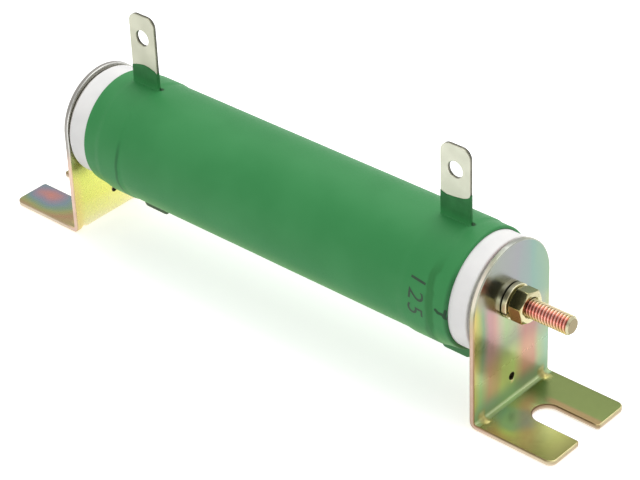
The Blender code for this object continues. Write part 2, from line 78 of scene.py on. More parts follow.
camera = bpy.data.objects.new("camera", bpy.data.cameras.new("camera"))
bpy.context.scene.collection.objects.link(camera)
camera.data.sensor_width = SENSOR_WIDTH
camera.data.lens = LENS
camera.data.clip_start, camera.data.clip_end = 0.01, 20
turn = Matrix((across, upwards, towards_camera)).transposed().to_4x4()
camera.matrix_world = Matrix.Translation(CAMERA_AIM + towards_camera * CAMERA_DISTANCE) @ turn
bpy.context.scene.camera = camera
bpy.context.scene.view_settings.view_transform = "Standard"
print("camera at", [round(v, 3) for v in camera.matrix_world.translation])

# %% [markdown]
# ## Fields: what changes over a surface
# Every finish below is a tree of nodes. A Field stands for what one node gives out at each
# point of the surface: a number, a colour or a vector. A sum written with Fields adds the
# Math nodes for it, so a finish reads as a formula and not as a list of links.


# %% Fields
class Field:
    """What a node gives out at each surface point. Sums with it add nodes to its tree."""

    def __init__(self, tree, socket):
        self.tree = tree
        self.socket = socket

    def __add__(self, other):
        return calc("ADD", self, other)

    def __sub__(self, other):
        return calc("SUBTRACT", self, other)

    def __rsub__(self, other):
        return calc("SUBTRACT", other, self)

    def __mul__(self, other):
        return calc("MULTIPLY", self, other)

    def __abs__(self):
        return calc("ABSOLUTE", self)


def put(tree, socket, value):
    """Links a Field to a socket, or sets the socket to a plain number, colour or vector."""
    if isinstance(value, Field):
        tree.links.new(value.socket, socket)
    else:
        socket.default_value = value


def add_node(tree, kind, values, **settings):
    """A new node, with its settings and its inputs filled in."""
    node = tree.nodes.new(kind)
    for name, value in settings.items():
        setattr(node, name, value)
    for key, value in values.items():
        put(tree, node.inputs[key], value)
    return node


def outputs_of(tree, kind, values=None, **settings):
    """A new node's outputs by name, as Fields."""
    node = add_node(tree, kind, values or {}, **settings)
    return {output.name: Field(tree, output) for output in node.outputs}


def tree_of(values):
    """The tree that holds a node's inputs. At least one of them is a Field."""
    return next(value.tree for value in values.values() if isinstance(value, Field))


def grow(kind, values, output=0, **settings):
    """A node placed after its inputs, as the Field of one of its outputs."""
    tree = tree_of(values)
    return Field(tree, add_node(tree, kind, values, **settings).outputs[output])


print("a Field can be added, subtracted and multiplied")


# %% Sums and colours
def calc(operation, a, b=0.0):
    """One sum on numbers, such as MULTIPLY or MAXIMUM."""
    return grow("ShaderNodeMath", {0: a, 1: b}, operation=operation)


def ease(value, start, end):
    """A smooth step: 0 where value is at start, 1 where it is at end."""
    return grow("ShaderNodeMapRange", {0: value, 1: start, 2: end, 3: 0.0, 4: 1.0},
                interpolation_type="SMOOTHSTEP")


def blend(share, a, b):
    """Number a where share is 0 and number b where it is 1."""
    return grow("ShaderNodeMix", {0: share, 2: a, 3: b}, data_type="FLOAT")


def vector_sum(operation, a, b):
    """One sum on vectors. A dot product or a distance gives a number."""
    return grow("ShaderNodeVectorMath", {0: a, 1: b},
                1 if operation in ("DOT_PRODUCT", "DISTANCE") else 0, operation=operation)


def paint(red, green, blue):
    """A colour from 0 to 255 values as they look on a screen."""
    def linear(v):
        v /= 255
        return v / 12.92 if v <= 0.04045 else ((v + 0.055) / 1.055) ** 2.4
    return (linear(red), linear(green), linear(blue), 1.0)


def as_colour(value):
    """Three screen values turned into a colour. Anything else stays as it is."""
    return paint(*value) if isinstance(value, tuple) and len(value) == 3 else value


def mix(share, a, b):
    """Colour a where share is 0 and colour b where it is 1."""
    return grow("ShaderNodeMix", {0: share, 6: as_colour(a), 7: as_colour(b)}, 2, data_type="RGBA")


def tinted(share, colour, red, green, blue):
    """The colour multiplied by a tint, given as three shares, where share is 1."""
    return grow("ShaderNodeMix", {0: share, 6: colour, 7: (red, green, blue, 1)}, 2,
                data_type="RGBA", blend_type="MULTIPLY")


def ramp(share, stops):
    """A colour ramp over a share, from (place, colour) stops."""
    colour = grow("ShaderNodeValToRGB", {0: share})
    elements = colour.socket.node.color_ramp.elements
    while len(elements) < len(stops):
        elements.new(0.5)
    for element, (place, tone) in zip(elements, stops):
        element.position = place
        element.color = as_colour(tone)
    return colour


def by_place(value, stops, smooth=False):
    """A colour that follows a value in mm or in shares, from (place, colour) stops."""
    low, high = stops[0][0], stops[-1][0]
    share = grow("ShaderNodeMapRange", {0: value, 1: low, 2: high})
    colour = ramp(share, [((place - low) / (high - low), tone) for place, tone in stops])
    if smooth:
        colour.socket.node.color_ramp.interpolation = "EASE"
    return colour


print("screen value 188 is", round(paint(188, 188, 188)[0], 3), "of the light")

# %% [markdown]
# ## Finishes
# A finish is a material whose tree ends in one Principled shader. That shader covers
# cement, ceramic and metal alike, so a finish only says what its sockets are given. Places
# in a finish are in millimetres, as a maker measures them.


# %% Finishes
class Finish:
    """A material with one shader. finish["Roughness"] = 0.4 sets or links a socket of it."""

    def __init__(self, name):
        self.material = bpy.data.materials.new(name)
        self.material.use_nodes = True
        self.tree = self.material.node_tree
        self.shader = self.tree.nodes["Principled BSDF"]

    def __setitem__(self, socket, value):
        put(self.tree, self.shader.inputs[socket], value)

    @functools.cached_property
    def point(self):
        """The surface point in millimetres."""
        place = outputs_of(self.tree, "ShaderNodeTexCoord")["Object"]
        return grow("ShaderNodeVectorMath", {0: place, 3: 1 / MM}, operation="SCALE")

    @functools.cached_property
    def xyz(self):
        """The point's x, y and z in millimetres."""
        return tuple(outputs_of(self.tree, "ShaderNodeSeparateXYZ", {0: self.point}).values())


def bumped(height, strength, distance):
    """A normal that leans as the height changes. The distance is in metres."""
    return grow("ShaderNodeBump", {"Height": height, "Strength": strength, "Distance": distance})


print("finishes can be made")

# %% [markdown]
# ## Floor, background and lamps
# The object was photographed in a light tent: white all round and brightest overhead, with
# very soft shadows. The floor is a pale plane that keeps the object's shadow. The tent is
# the world: it lights the object more from above than from the sides, shows as plain white
# to the camera, and has one dark place, the opening for the lens, which only mirror
# reflections see. Polished metal gets its contrast from that opening.

# %% Floor
FLOOR_REACH, FLOOR_DEPTH = 3.0, 0.2 * MM
FLOOR_GLOW = 0.56

floor_mesh = bpy.data.meshes.new("floor")
bm = bmesh.new()
bmesh.ops.create_grid(bm, x_segments=1, y_segments=1, size=FLOOR_REACH)
bm.to_mesh(floor_mesh)
bm.free()
floor = bpy.data.objects.new("floor", floor_mesh)
floor.location.z = -FLOOR_DEPTH
bpy.context.scene.collection.objects.link(floor)

floor_finish = Finish("pale_floor")
floor_finish["Base Color"] = (0.86, 0.86, 0.86, 1)
floor_finish["Roughness"] = 0.9
floor_finish["Specular IOR Level"] = 0.0
floor_finish["Emission Color"] = (1, 1, 1, 1)
ray = outputs_of(floor_finish.tree, "ShaderNodeLightPath")
seen = calc("MAXIMUM", ray["Is Camera Ray"], ray["Is Glossy Ray"])
seen = calc("MAXIMUM", seen, ray["Is Transmission Ray"])
floor_finish["Emission Strength"] = seen * FLOOR_GLOW
floor_mesh.materials.append(floor_finish.material)
print("floor", 2 * FLOOR_REACH, "m wide")

# %% Light tent
TENT_SIDES, TENT_ROOF = 0.26, 0.88
LENS_OPENING = Vector((0.57, -0.56, 0.60)).normalized()
OPENING_EDGE, OPENING_MIDDLE, OPENING_LIGHT = 0.86, 0.965, 0.04

world = bpy.data.worlds.new("light_tent")
bpy.context.scene.world = world
world.use_nodes = True
tree = world.node_tree
outward = outputs_of(tree, "ShaderNodeTexCoord")["Generated"]
lighting = blend(ease(grow("ShaderNodeSeparateXYZ", {0: outward}, 2), 0.0, 1.0),
                 TENT_SIDES, TENT_ROOF)
opening = ease(vector_sum("DOT_PRODUCT", outward, LENS_OPENING), OPENING_EDGE, OPENING_MIDDLE)
mirrored = blend(opening, 1.0, OPENING_LIGHT)
ray = outputs_of(tree, "ShaderNodeLightPath")
seen = calc("MAXIMUM", ray["Is Camera Ray"], ray["Is Transmission Ray"])
background = tree.nodes["Background"].inputs
background["Color"].default_value = (1, 1, 1, 1)
put(tree, background["Strength"], blend(seen, blend(ray["Is Glossy Ray"], lighting, mirrored), 1.0))
print("tent's light at the sides and overhead:", TENT_SIDES, TENT_ROOF)


# %% Lamps
def softbox(name, place, aim, width, height, power):
    """A rectangular lamp that faces a point."""
    lamp = bpy.data.lights.new(name, "AREA")
    lamp.shape = "RECTANGLE"
    lamp.size, lamp.size_y, lamp.energy = width, height, power
    made = bpy.data.objects.new(name, lamp)
    made.location = Vector(place)
    made.rotation_mode = "QUATERNION"
    made.rotation_quaternion = (Vector(place) - Vector(aim)).to_track_quat("Z", "Y")
    bpy.context.scene.collection.objects.link(made)


softbox("top_light", (-0.05, 0.30, 0.85), (0, 0, 0), 0.8, 0.8, 3.8)
softbox("low_front_light", (0.25, -0.75, 0.08), (0, 0, 0.03), 0.9, 0.16, 1.0)

# %% [markdown]
# ## Effects that several finishes share
# Each is a node group, built once and placed in a material with that material's values.
# Fine grain breaks up a surface a little in roughness and in height. Drift is a slow, soft
# variation over many millimetres. Film tint turns the thickness of a passivation film into
# the colour that it shows: straw, then green and pink, again and again, as the two
# reflections of light from the film's faces fall in and out of step.


# %% Shared effects
def new_group(name, inputs, outputs):
    """A node group with named sockets: its tree, its inputs as Fields, and its outputs."""
    group = bpy.data.node_groups.new(name, "ShaderNodeTree")
    for socket, kind, value in inputs:
        made = group.interface.new_socket(name=socket, in_out="INPUT", socket_type=kind)
        made.default_value = value
    for socket, kind in outputs:
        group.interface.new_socket(name=socket, in_out="OUTPUT", socket_type=kind)
    return group, outputs_of(group, "NodeGroupInput"), group.nodes.new("NodeGroupOutput").inputs


def use(group, **values):
    """Places a group after its inputs, with its own values. Gives its outputs by name."""
    return outputs_of(tree_of(values), "ShaderNodeGroup", values, node_tree=group)


GRAIN, given, out = new_group(
    "fine_grain",
    [("Point", "NodeSocketVector", (0, 0, 0)), ("Size", "NodeSocketFloat", 0.5)],
    [("Height", "NodeSocketFloat"), ("Speckle", "NodeSocketFloat")])
small = grow("ShaderNodeTexNoise", {"Vector": given["Point"], "Detail": 2.5, "Roughness": 0.5,
                                    "Scale": calc("DIVIDE", 1.0, given["Size"])})
put(GRAIN, out["Height"], small)
put(GRAIN, out["Speckle"], ease(small, 0.35, 0.65))

DRIFT, given, out = new_group(
    "slow_drift",
    [("Point", "NodeSocketVector", (0, 0, 0)), ("Size", "NodeSocketFloat", 20.0),
     ("Stretch", "NodeSocketVector", (1, 1, 1))],
    [("Amount", "NodeSocketFloat"), ("Swing", "NodeSocketFloat")])
stretched = vector_sum("MULTIPLY", given["Point"], given["Stretch"])
slow = grow("ShaderNodeTexNoise", {"Vector": stretched, "Detail": 2.0,
                                   "Scale": calc("DIVIDE", 1.0, given["Size"])})
put(DRIFT, out["Amount"], ease(slow, 0.3, 0.7))
put(DRIFT, out["Swing"], slow - 0.5)

FILM, given, out = new_group(
    "film_tint", [("Thickness", "NodeSocketFloat", 0.0)], [("Color", "NodeSocketColor")])
put(FILM, out["Color"], ramp(given["Thickness"], [
    (0.00, (180, 174, 150)), (0.13, (236, 208, 124)), (0.18, (196, 200, 120)),
    (0.23, (150, 176, 140)), (0.28, (206, 160, 162)), (0.34, (206, 162, 154)),
    (0.40, (172, 170, 142)), (0.46, (156, 176, 130)), (0.55, (158, 164, 134)),
    (0.64, (190, 136, 126)), (0.73, (184, 140, 130)), (0.80, (164, 170, 154)),
    (0.87, (174, 186, 134)), (1.00, (162, 144, 104))]))
print("groups:", [g.name for g in bpy.data.node_groups])

# %% [markdown]
# ## Helpers for meshes
# Rings of points joined into a skin make every turned piece here: the tube, the coating,
# the thread and the nut. A solid whose shape is already right is copied instead, and its
# edges get the small round that pressing and plating leave on real steel.

# %% Mesh helpers
AXIS_HEIGHT = 30.0


def add_piece(name, mesh, finishes, stands_for=()):
    """A finished piece that rides with the object."""
    piece = bpy.data.objects.new(name, mesh)
    bpy.context.scene.collection.objects.link(piece)
    for finish in finishes:
        mesh.materials.append(finish.material)
    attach(piece, "root")
    if stands_for:
        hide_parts(*stands_for)
    return piece


def around(angle, radius, x):
    """A point at a radius from the bolt's axis, in metres. The angle starts at +Y."""
    return (x * MM, radius * math.cos(angle) * MM, (AXIS_HEIGHT + radius * math.sin(angle)) * MM)


def full_turn(steps):
    """Evenly spaced angles around the axis."""
    return [2 * math.pi * i / steps for i in range(steps)]


def finish_mesh(bm, name, sharp=35):
    """A mesh from a bmesh, its normals outwards and its shading smooth between sharp edges."""
    bmesh.ops.remove_doubles(bm, verts=bm.verts, dist=1e-7)
    bmesh.ops.recalc_face_normals(bm, faces=bm.faces)
    mesh = bpy.data.meshes.new(name)
    bm.to_mesh(mesh)
    bm.free()
    mesh.shade_smooth()
    mesh.set_sharp_from_angle(angle=math.radians(sharp))
    return mesh


def skin(name, rings, close_rings=False, close_ends=False):
    """A mesh through rings of points. The rings may close on the first, or be capped."""
    count = len(rings[0])
    bm = bmesh.new()
    rows = [[bm.verts.new(point) for point in ring] for ring in rings]
    for a, b in zip(rows, rows[1:] + (rows[:1] if close_rings else [])):
        for i in range(count):
            j = (i + 1) % count
            bm.faces.new((a[i], a[j], b[j], b[i]))
    if close_ends:
        bm.faces.new(list(reversed(rows[0])))
        bm.faces.new(rows[-1])
    return finish_mesh(bm, name)


def rounded_copy(node, name, edge):
    """A copy of a solid's mesh with its sharp edges rounded. The edge is in metres."""
    bm = bmesh.new()
    bm.from_mesh(solids[node].data)
    bmesh.ops.remove_doubles(bm, verts=bm.verts, dist=1e-6)
    bmesh.ops.dissolve_limit(bm, angle_limit=math.radians(0.5), verts=bm.verts, edges=bm.edges)
    sharp = [e for e in bm.edges
             if len(e.link_faces) == 2 and e.calc_face_angle() > math.radians(35)]
    bmesh.ops.bevel(bm, geom=sharp, offset=edge, offset_type="OFFSET", segments=2,
                    profile=0.5, affect="EDGES", clamp_overlap=True)
    return finish_mesh(bm, name, 40)


def keep_flats(piece):
    """Keeps large flat faces flat in their shading, beside small rounded edges."""
    weighted = piece.modifiers.new("flat_faces", "WEIGHTED_NORMAL")
    weighted.keep_sharp = True
    weighted.weight = 80


def step(value, start, end):
    """0 before start, 1 after end, smooth between."""
    share = min(max((value - start) / (end - start), 0.0), 1.0)
    return share * share * (3 - 2 * share)


print("the bolt's axis is", AXIS_HEIGHT, "mm above the floor")

# %% [markdown]
# ## Ceramic tube
# The tube is unglazed white ceramic. It shows at both ends, where it is matt and very
# slightly uneven. It is one turned profile: outside, a small round at each end, and bore.
# A turned profile is used, and not a plain cylinder, because the rounded rim of the tube
# catches a soft line of light beside the steel.

# %% Ceramic
core_low, core_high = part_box("ceramic_core")
CORE_ENDS = (core_low[0] / MM, core_high[0] / MM)
CORE_RADIUS = (core_high[1] - core_low[1]) / 2 / MM
CORE_BORE = 9.0
CORE_ROUND = 0.5

ceramic = Finish("white_ceramic")
grain = use(GRAIN, Point=ceramic.point, Size=0.6)
drift = use(DRIFT, Point=ceramic.point, Size=9.0)
ceramic["Base Color"] = mix(drift["Amount"], (243, 242, 240), (235, 234, 233))
ceramic["Roughness"] = 0.6
ceramic["Specular IOR Level"] = 0.2
ceramic["Normal"] = bumped(grain["Height"], 0.15, 0.05 * MM)


def rounded_rim(x, inward, steps=5):
    """Profile points around the tube's rim, from its end face to its outside."""
    run = [math.pi / 2 * i / steps for i in range(steps + 1)]
    return [(CORE_RADIUS - CORE_ROUND + CORE_ROUND * math.cos(a),
             x + inward * (CORE_ROUND - CORE_ROUND * math.sin(a))) for a in run]


tube_profile = (rounded_rim(CORE_ENDS[0], 1)[::-1] + rounded_rim(CORE_ENDS[1], -1)
                + [(CORE_BORE, CORE_ENDS[1]), (CORE_BORE, CORE_ENDS[0])])
tube_rings = [[around(a, radius, x) for a in full_turn(180)] for radius, x in tube_profile]
add_piece("ceramic_tube", skin("ceramic_tube", tube_rings, close_rings=True), [ceramic],
          ["ceramic_core"])
print("ceramic tube:", CORE_ENDS, "radius", round(CORE_RADIUS, 2))

# %% [markdown]
# ## Green cement coating
# The coating is wet cement, sprayed or dipped, and baked hard. Over each terminal strap it
# stands up as a low band. It is made as a skin of rings, so that its radius can follow any
# rule of place: a smooth step over each strap, rounded ends, and a slight sag on the lower
# front side, where the wet cement ran down before it set.

# %% Coating
COATING_RADIUS = 15.7
COATING_INNER = 15.02
COATING_ENDS = (-60.4, 61.5)
COATING_ROUND = 0.5
BAND_RISE = 0.26
BANDS = ((-55.4, -47.6, 1.1, 0.9), (47.4, 56.8, 1.6, 0.8))
BAND_WAVE, WAVE_SIZE = 0.35, 2.2 * 1.6
SAG, SAG_ANGLE = 0.55, math.radians(240)
FINE_UNTIL, FINE_STEP, COARSE_STEP = 44.5, 0.25, 1.5


def coating_radius(angle, x):
    """The coating's radius in mm at an angle around the tube and a place along it."""
    radius = COATING_RADIUS
    for low, high, soft_left, soft_right in BANDS:
        here = Vector((math.cos(angle) * WAVE_SIZE, math.sin(angle) * WAVE_SIZE, 3.1 + high))
        wave = BAND_WAVE * noise.noise(here)
        rise = step(x, low + wave - soft_left, low + wave + soft_left)
        rise *= 1 - step(x, high + wave - soft_right, high + wave + soft_right)
        radius += BAND_RISE * rise
    sagging = max(0.0, math.cos(angle - SAG_ANGLE)) ** 1.5
    radius += SAG * sagging * step(x, 62.5, 56) * step(x, -62, -54)
    radius += 0.03 * noise.noise(Vector((x / 14, math.cos(angle) * 1.2, math.sin(angle) * 1.2)))
    for end in COATING_ENDS:
        inside = COATING_ROUND - abs(x - end)
        if inside > 0:
            radius -= COATING_ROUND - math.sqrt(max(COATING_ROUND ** 2 - inside ** 2, 0.0))
    return radius


low_end, high_end = COATING_ENDS
rounding = [COATING_ROUND * (1 - math.cos(math.pi / 2 * i / 6)) for i in range(6)]
places = [low_end + r for r in rounding]
places += list(np.arange(low_end + COATING_ROUND, -FINE_UNTIL, FINE_STEP))
places += list(np.arange(-FINE_UNTIL, FINE_UNTIL, COARSE_STEP))
places += list(np.arange(FINE_UNTIL, high_end - COATING_ROUND, FINE_STEP))
places += [high_end - r for r in reversed(rounding)]
angles = full_turn(240)
rings = [[around(a, COATING_INNER, low_end) for a in angles]]
rings += [[around(a, coating_radius(a, x), x) for a in angles] for x in places]
rings += [[around(a, COATING_INNER, high_end) for a in angles]]
coating_mesh = skin("coating_skin", rings)
print("coating rings:", len(rings), "faces:", len(coating_mesh.polygons))


# %% [markdown]
# ### The green, its painted shade and light, and its small faults
# The green is a satin cement colour with a very fine grain. A darker scalloped stripe round the
# nut's end and a thin dark line round the head's end are painted shade, where the raised bands step
# down. A dark rim along the coating's rounded end at the nut is painted shade too, and the lower
# side is painted paler, as light from the white floor. A short crack and two pinholes follow the
# real ones. The stripes, the crack and the pinholes are masks: each is 1 near a line or a curve on
# the surface, and 0 elsewhere. A mask is used rather than a dent, because these marks are far
# thinner than the skin's own facets.

# %% Masks on the tube
def number_by_place(value, stops):
    """A number from 0 to 1 that follows a value, from (place, number) stops."""
    return by_place(value, [(place, (n, n, n, 1)) for place, n in stops], True)


def degrees_around(py, pz):
    """The angle of a surface point around the bolt's axis, from 0 to 360. 90 is the top."""
    angle = calc("ARCTAN2", pz - AXIS_HEIGHT, py)
    return calc("FRACT", angle * (1 / (2 * math.pi)) + 1.0) * 360.0


def near_line(point, start, end):
    """Distance in mm from the surface point to a straight line between two places."""
    run = Vector(end) - Vector(start)
    offset = vector_sum("SUBTRACT", point, start)
    along = vector_sum("DOT_PRODUCT", offset, tuple(run / run.length_squared))
    share = calc("MAXIMUM", calc("MINIMUM", along, 1.0), 0.0)
    reached = grow("ShaderNodeVectorMath", {0: tuple(run), 3: share}, operation="SCALE")
    return vector_sum("DISTANCE", offset, reached)


def on_tube(x, degrees):
    """A place on the coating in mm, from its place along the tube and its angle."""
    a = math.radians(degrees)
    radius = coating_radius(a, x)
    return (x, radius * math.cos(a), AXIS_HEIGHT + radius * math.sin(a))


def stripe(px, middle, half, soft):
    """A mask for a ring round the tube: 1 within half of its middle, fading over soft."""
    return ease(abs(px - middle), half + soft, half)


print("a crack point:", [round(v, 2) for v in on_tube(60, 180)])

# %% Green and its stripes
green = Finish("green_cement")
px, py, pz = green.xyz
turn_angle = degrees_around(py, pz)
grain = use(GRAIN, Point=green.point, Size=0.35)
drift = use(DRIFT, Point=green.point, Size=16.0)
small_drift = use(DRIFT, Point=green.point, Size=4.0)
colour = mix(drift["Amount"], (54, 136, 75), (61, 142, 81))
# Paler on the lower side: painted light, standing in for light thrown up from the white floor.
painted_floor_light = ease(turn_angle, 196.0, 232.0) * ease(turn_angle, 350.0, 305.0)
colour = mix(painted_floor_light * 0.88, colour, (114, 176, 102))

front_side = ease(turn_angle, 128.0, 150.0) * ease(turn_angle, 330.0, 280.0)
# A darker scalloped stripe round the nut's end: painted shade where the raised band steps down.
middle = number_by_place(turn_angle, [(120, 0.70), (140, 0.70), (148, 0.45), (163, 0.65),
                                      (189, 0.80), (213, 0.25), (250, 0.30), (290, 0.6)])
step_shade_near_nut = stripe(px + small_drift["Swing"] * 1.3, middle * 2.0 + 55.0, 0.6, 0.9) * front_side
colour = mix(step_shade_near_nut * 0.62, colour, (38, 108, 52))

# A thin dark line round the head's end: painted shade where the raised band steps down.
middle = number_by_place(turn_angle, [(140, 0.9), (164, 0.70), (186, 0.45), (199, 0.20),
                                      (260, 0.5)])
far_side = ease(turn_angle, 150.0, 172.0) * ease(turn_angle, 340.0, 280.0)
step_shade_near_head = stripe(px, middle * 2.0 - 49.0, 0.15, 0.55) * far_side
colour = mix(step_shade_near_head * 0.6, colour, (30, 88, 50))
# Paler still low down at the head's end: more painted light from the floor.
more_floor_light_at_head = ease(px, -48.0, -53.0) * painted_floor_light
colour = mix(more_floor_light_at_head * 0.4, colour, (112, 172, 100))
# Darker along the coating's rounded end at the nut: painted shade.
end_shade_near_nut = ease(px, 60.2, 61.4) * front_side
colour = mix(end_shade_near_nut * 0.6, colour, (24, 78, 40))
print("green with two stripes:", len(green.tree.nodes), "nodes")

# %% Crack and pinholes
CRACK = (((59.0, 178.3), (60.4, 178.4)), ((60.4, 178.4), (60.9, 180.8)),
         ((60.9, 180.8), (61.5, 181.4)), ((61.2, 174.0), (60.9, 180.8)),
         ((58.4, 176.5), (59.2, 178.3)))
CRACK_EDGE, CRACK_MIDDLE = 0.55, 0.28
PINHOLES = ((56.6, 88.0), (-46.3, 88.0))
PINHOLE_EDGE, PINHOLE_MIDDLE = 1.00, 0.45


def with_pinholes(point, colour):
    """The colour with the two dark pinholes beside the lugs."""
    for place in PINHOLES:
        near = vector_sum("DISTANCE", point, on_tube(*place))
        colour = mix(ease(near, PINHOLE_EDGE, PINHOLE_MIDDLE), colour, (0, 62, 18))
    return colour


marks = 0.0
for start, end in CRACK:
    near = near_line(green.point, on_tube(*start), on_tube(*end))
    marks = calc("MAXIMUM", marks, ease(near, CRACK_EDGE, CRACK_MIDDLE))
colour = mix(marks * 0.88, colour, (14, 44, 26))
green["Base Color"] = with_pinholes(green.point, colour)
green["Roughness"] = grain["Speckle"] * 0.08 + 0.48
green["Specular IOR Level"] = 0.25
green["Normal"] = bumped(grain["Height"], 0.25, 0.04 * MM)
coating = add_piece("coating_skin", coating_mesh, [green], ["green_coating"])
print("green finish on", coating.name)


# %% [markdown]
# ## Printed figures
# A resistor of this kind has a marking printed across its band. Here it is three plain
# figures. They start as a flat text, whose faces are cut into narrow strips, so that they
# can bend round the tube. Each point is then laid on the coating, a hair above it. Ink as
# a mask in the green would need a picture, and a raised text keeps crisp edges.

# %% Printed figures
FIGURES = "125"
FIGURES_FROM, FIGURES_TO = 50.2, 54.8
FIGURES_ANGLES = (154.5, 189.5)
FIGURES_STRIPS = 32
INK_LIFT = 0.03

ink = Finish("dark_ink")
ink["Base Color"] = mix(use(DRIFT, Point=ink.point, Size=1.5)["Amount"], (12, 48, 26), (22, 64, 36))
ink["Roughness"] = 0.5

text = bpy.data.curves.new("figures", "FONT")
text.body = FIGURES
text.shear = 0.12
text.space_character = 1.25
text.resolution_u = 6
flat_text = bpy.data.objects.new("figures_flat", text)
bpy.context.scene.collection.objects.link(flat_text)
bpy.context.view_layer.update()
figures_mesh = bpy.data.meshes.new_from_object(flat_text)
bpy.data.objects.remove(flat_text)

bm = bmesh.new()
bm.from_mesh(figures_mesh)
xs = [v.co.x for v in bm.verts]
ys = [v.co.y for v in bm.verts]
for low, high, axis in ((min(xs), max(xs), (1, 0, 0)), (min(ys), max(ys), (0, 1, 0))):
    for share in np.linspace(0, 1, FIGURES_STRIPS)[1:-1]:
        cut = Vector(axis) * (low + (high - low) * share)
        bmesh.ops.bisect_plane(bm, geom=bm.verts[:] + bm.edges[:] + bm.faces[:],
                               plane_co=cut, plane_no=axis)
for v in bm.verts:
    across_share = (v.co.x - min(xs)) / (max(xs) - min(xs))
    up_share = (v.co.y - min(ys)) / (max(ys) - min(ys))
    degrees = FIGURES_ANGLES[0] + (FIGURES_ANGLES[1] - FIGURES_ANGLES[0]) * across_share
    x = FIGURES_FROM + (FIGURES_TO - FIGURES_FROM) * up_share
    a = math.radians(degrees)
    v.co = around(a, coating_radius(a, x) + INK_LIFT, x)
bm.to_mesh(figures_mesh)
bm.free()
add_piece("printed_figures", figures_mesh, [ink])
print("figures:", len(figures_mesh.polygons), "faces")


# %% [markdown]
# ## Painted roots of the lugs
# The wet coating climbed each lug and left an uneven rim on the metal. A mask on the metal
# could show that, but a real film has thickness. So each lug gets a thin sleeve: a rounded
# loop that hugs the metal, flares a little into the coating below and ends in the rim.

# %% Finish of the painted roots
root_green = Finish("green_on_metal")
grain = use(GRAIN, Point=root_green.point, Size=0.35)
drift = use(DRIFT, Point=root_green.point, Size=2.5)
# Darker green higher up the lug: partly the thinner coat on the metal, partly painted shade of the
# upright face.
thin_coat_and_shade = ease(root_green.xyz[2], 46.0, 48.6)
colour = mix(thin_coat_and_shade, (54, 136, 74), mix(drift["Amount"], (36, 108, 54), (44, 120, 62)))
root_green["Base Color"] = with_pinholes(root_green.point, colour)
root_green["Roughness"] = grain["Speckle"] * 0.08 + 0.42
root_green["Specular IOR Level"] = 0.25
print("painted root:", len(root_green.tree.nodes), "nodes")

# %% Painted roots
STRAP_HALF_WIDTH = 4.4
STRAP_HALF_THICK = 0.475
STRAP_CORNER = 0.14
PAINT_THICK = 0.11


def loop_around(half_width, half_thick, radius, steps=8):
    """A rounded rectangle in (x, y), as evenly spaced points."""
    points = []
    for corner in range(4):
        cx = (half_width - radius) * (1 if corner in (0, 3) else -1)
        cy = (half_thick - radius) * (1 if corner in (0, 1) else -1)
        for i in range(steps):
            a = math.pi / 2 * (corner + i / (steps - 1))
            points.append((cx + radius * math.cos(a), cy + radius * math.sin(a)))
    dense = []
    for (ax, ay), (bx, by) in zip(points, points[1:] + points[:1]):
        pieces = 24 if math.dist((ax, ay), (bx, by)) > 3 else 1
        dense += [(ax + (bx - ax) * i / pieces, ay + (by - ay) * i / pieces) for i in range(pieces)]
    return dense


def painted_root(name, middle, rim_places):
    """A sleeve of coating around a lug, as rings from its rim down into the tube."""
    rim_x, rim_z = zip(*rim_places)

    def rim(x, y):
        front = float(np.interp(middle + x, rim_x, rim_z))
        return front + (0.0 if y < 0 else 0.35 * noise.noise(Vector((x * 0.5, 1.0, middle))))

    def ring_at(height, extra):
        loop = loop_around(STRAP_HALF_WIDTH + extra, STRAP_HALF_THICK + extra,
                           STRAP_CORNER + extra)
        return [((middle + x) * MM, y * MM, height(x, y) * MM) for x, y in loop]

    foot = AXIS_HEIGHT + COATING_RADIUS + BAND_RISE - 0.05
    rings = []
    for down, out in ((0.03, 0.015), (0.0, PAINT_THICK * 0.45), (0.08, PAINT_THICK * 0.9),
                      (0.25, PAINT_THICK)):
        rings.append(ring_at(lambda x, y: rim(x, y) - down, out))
    for share in (0.75, 0.5, 0.25):
        rings.append(ring_at(lambda x, y: foot + (rim(x, y) - foot) * share, PAINT_THICK))
    for up, out in ((0.6, 0.11), (0.35, 0.12), (0.2, 0.15), (0.1, 0.19), (0.0, 0.26), (-0.3, 0.28)):
        rings.append(ring_at(lambda x, y: foot + up - (y * y) / 32, out))
    add_piece(name, skin(name, rings), [root_green])


painted_root("nut_end_painted_root", 52.1,
             [(47.6, 52.7), (48.0, 52.5), (49.5, 52.0), (52.2, 52.2), (54.6, 52.6), (55.8, 53.1),
              (56.4, 53.6), (56.8, 54.6)])
painted_root("head_end_painted_root", -50.9,
             [(-55.4, 50.6), (-53.9, 51.2), (-52.3, 51.6), (-50.9, 51.8), (-49.4, 51.7),
              (-48.3, 51.4), (-47.3, 51.1), (-46.4, 50.5)])
print("painted roots made, film in mm:", PAINT_THICK)

# %% [markdown]
# ## Terminal straps
# Each terminal is two half-straps of tinned strip, back to back in the lug. They were punched, so
# one rim of each is slightly rounded, and the cut edge is darker than the tin. The back half-strap's
# cut edge is painted nearly black, as shade in the gap behind the front one. Copies of the solids
# get the rounded rims, and each face is then given the finish of a flat or of a cut edge by the way
# it faces.

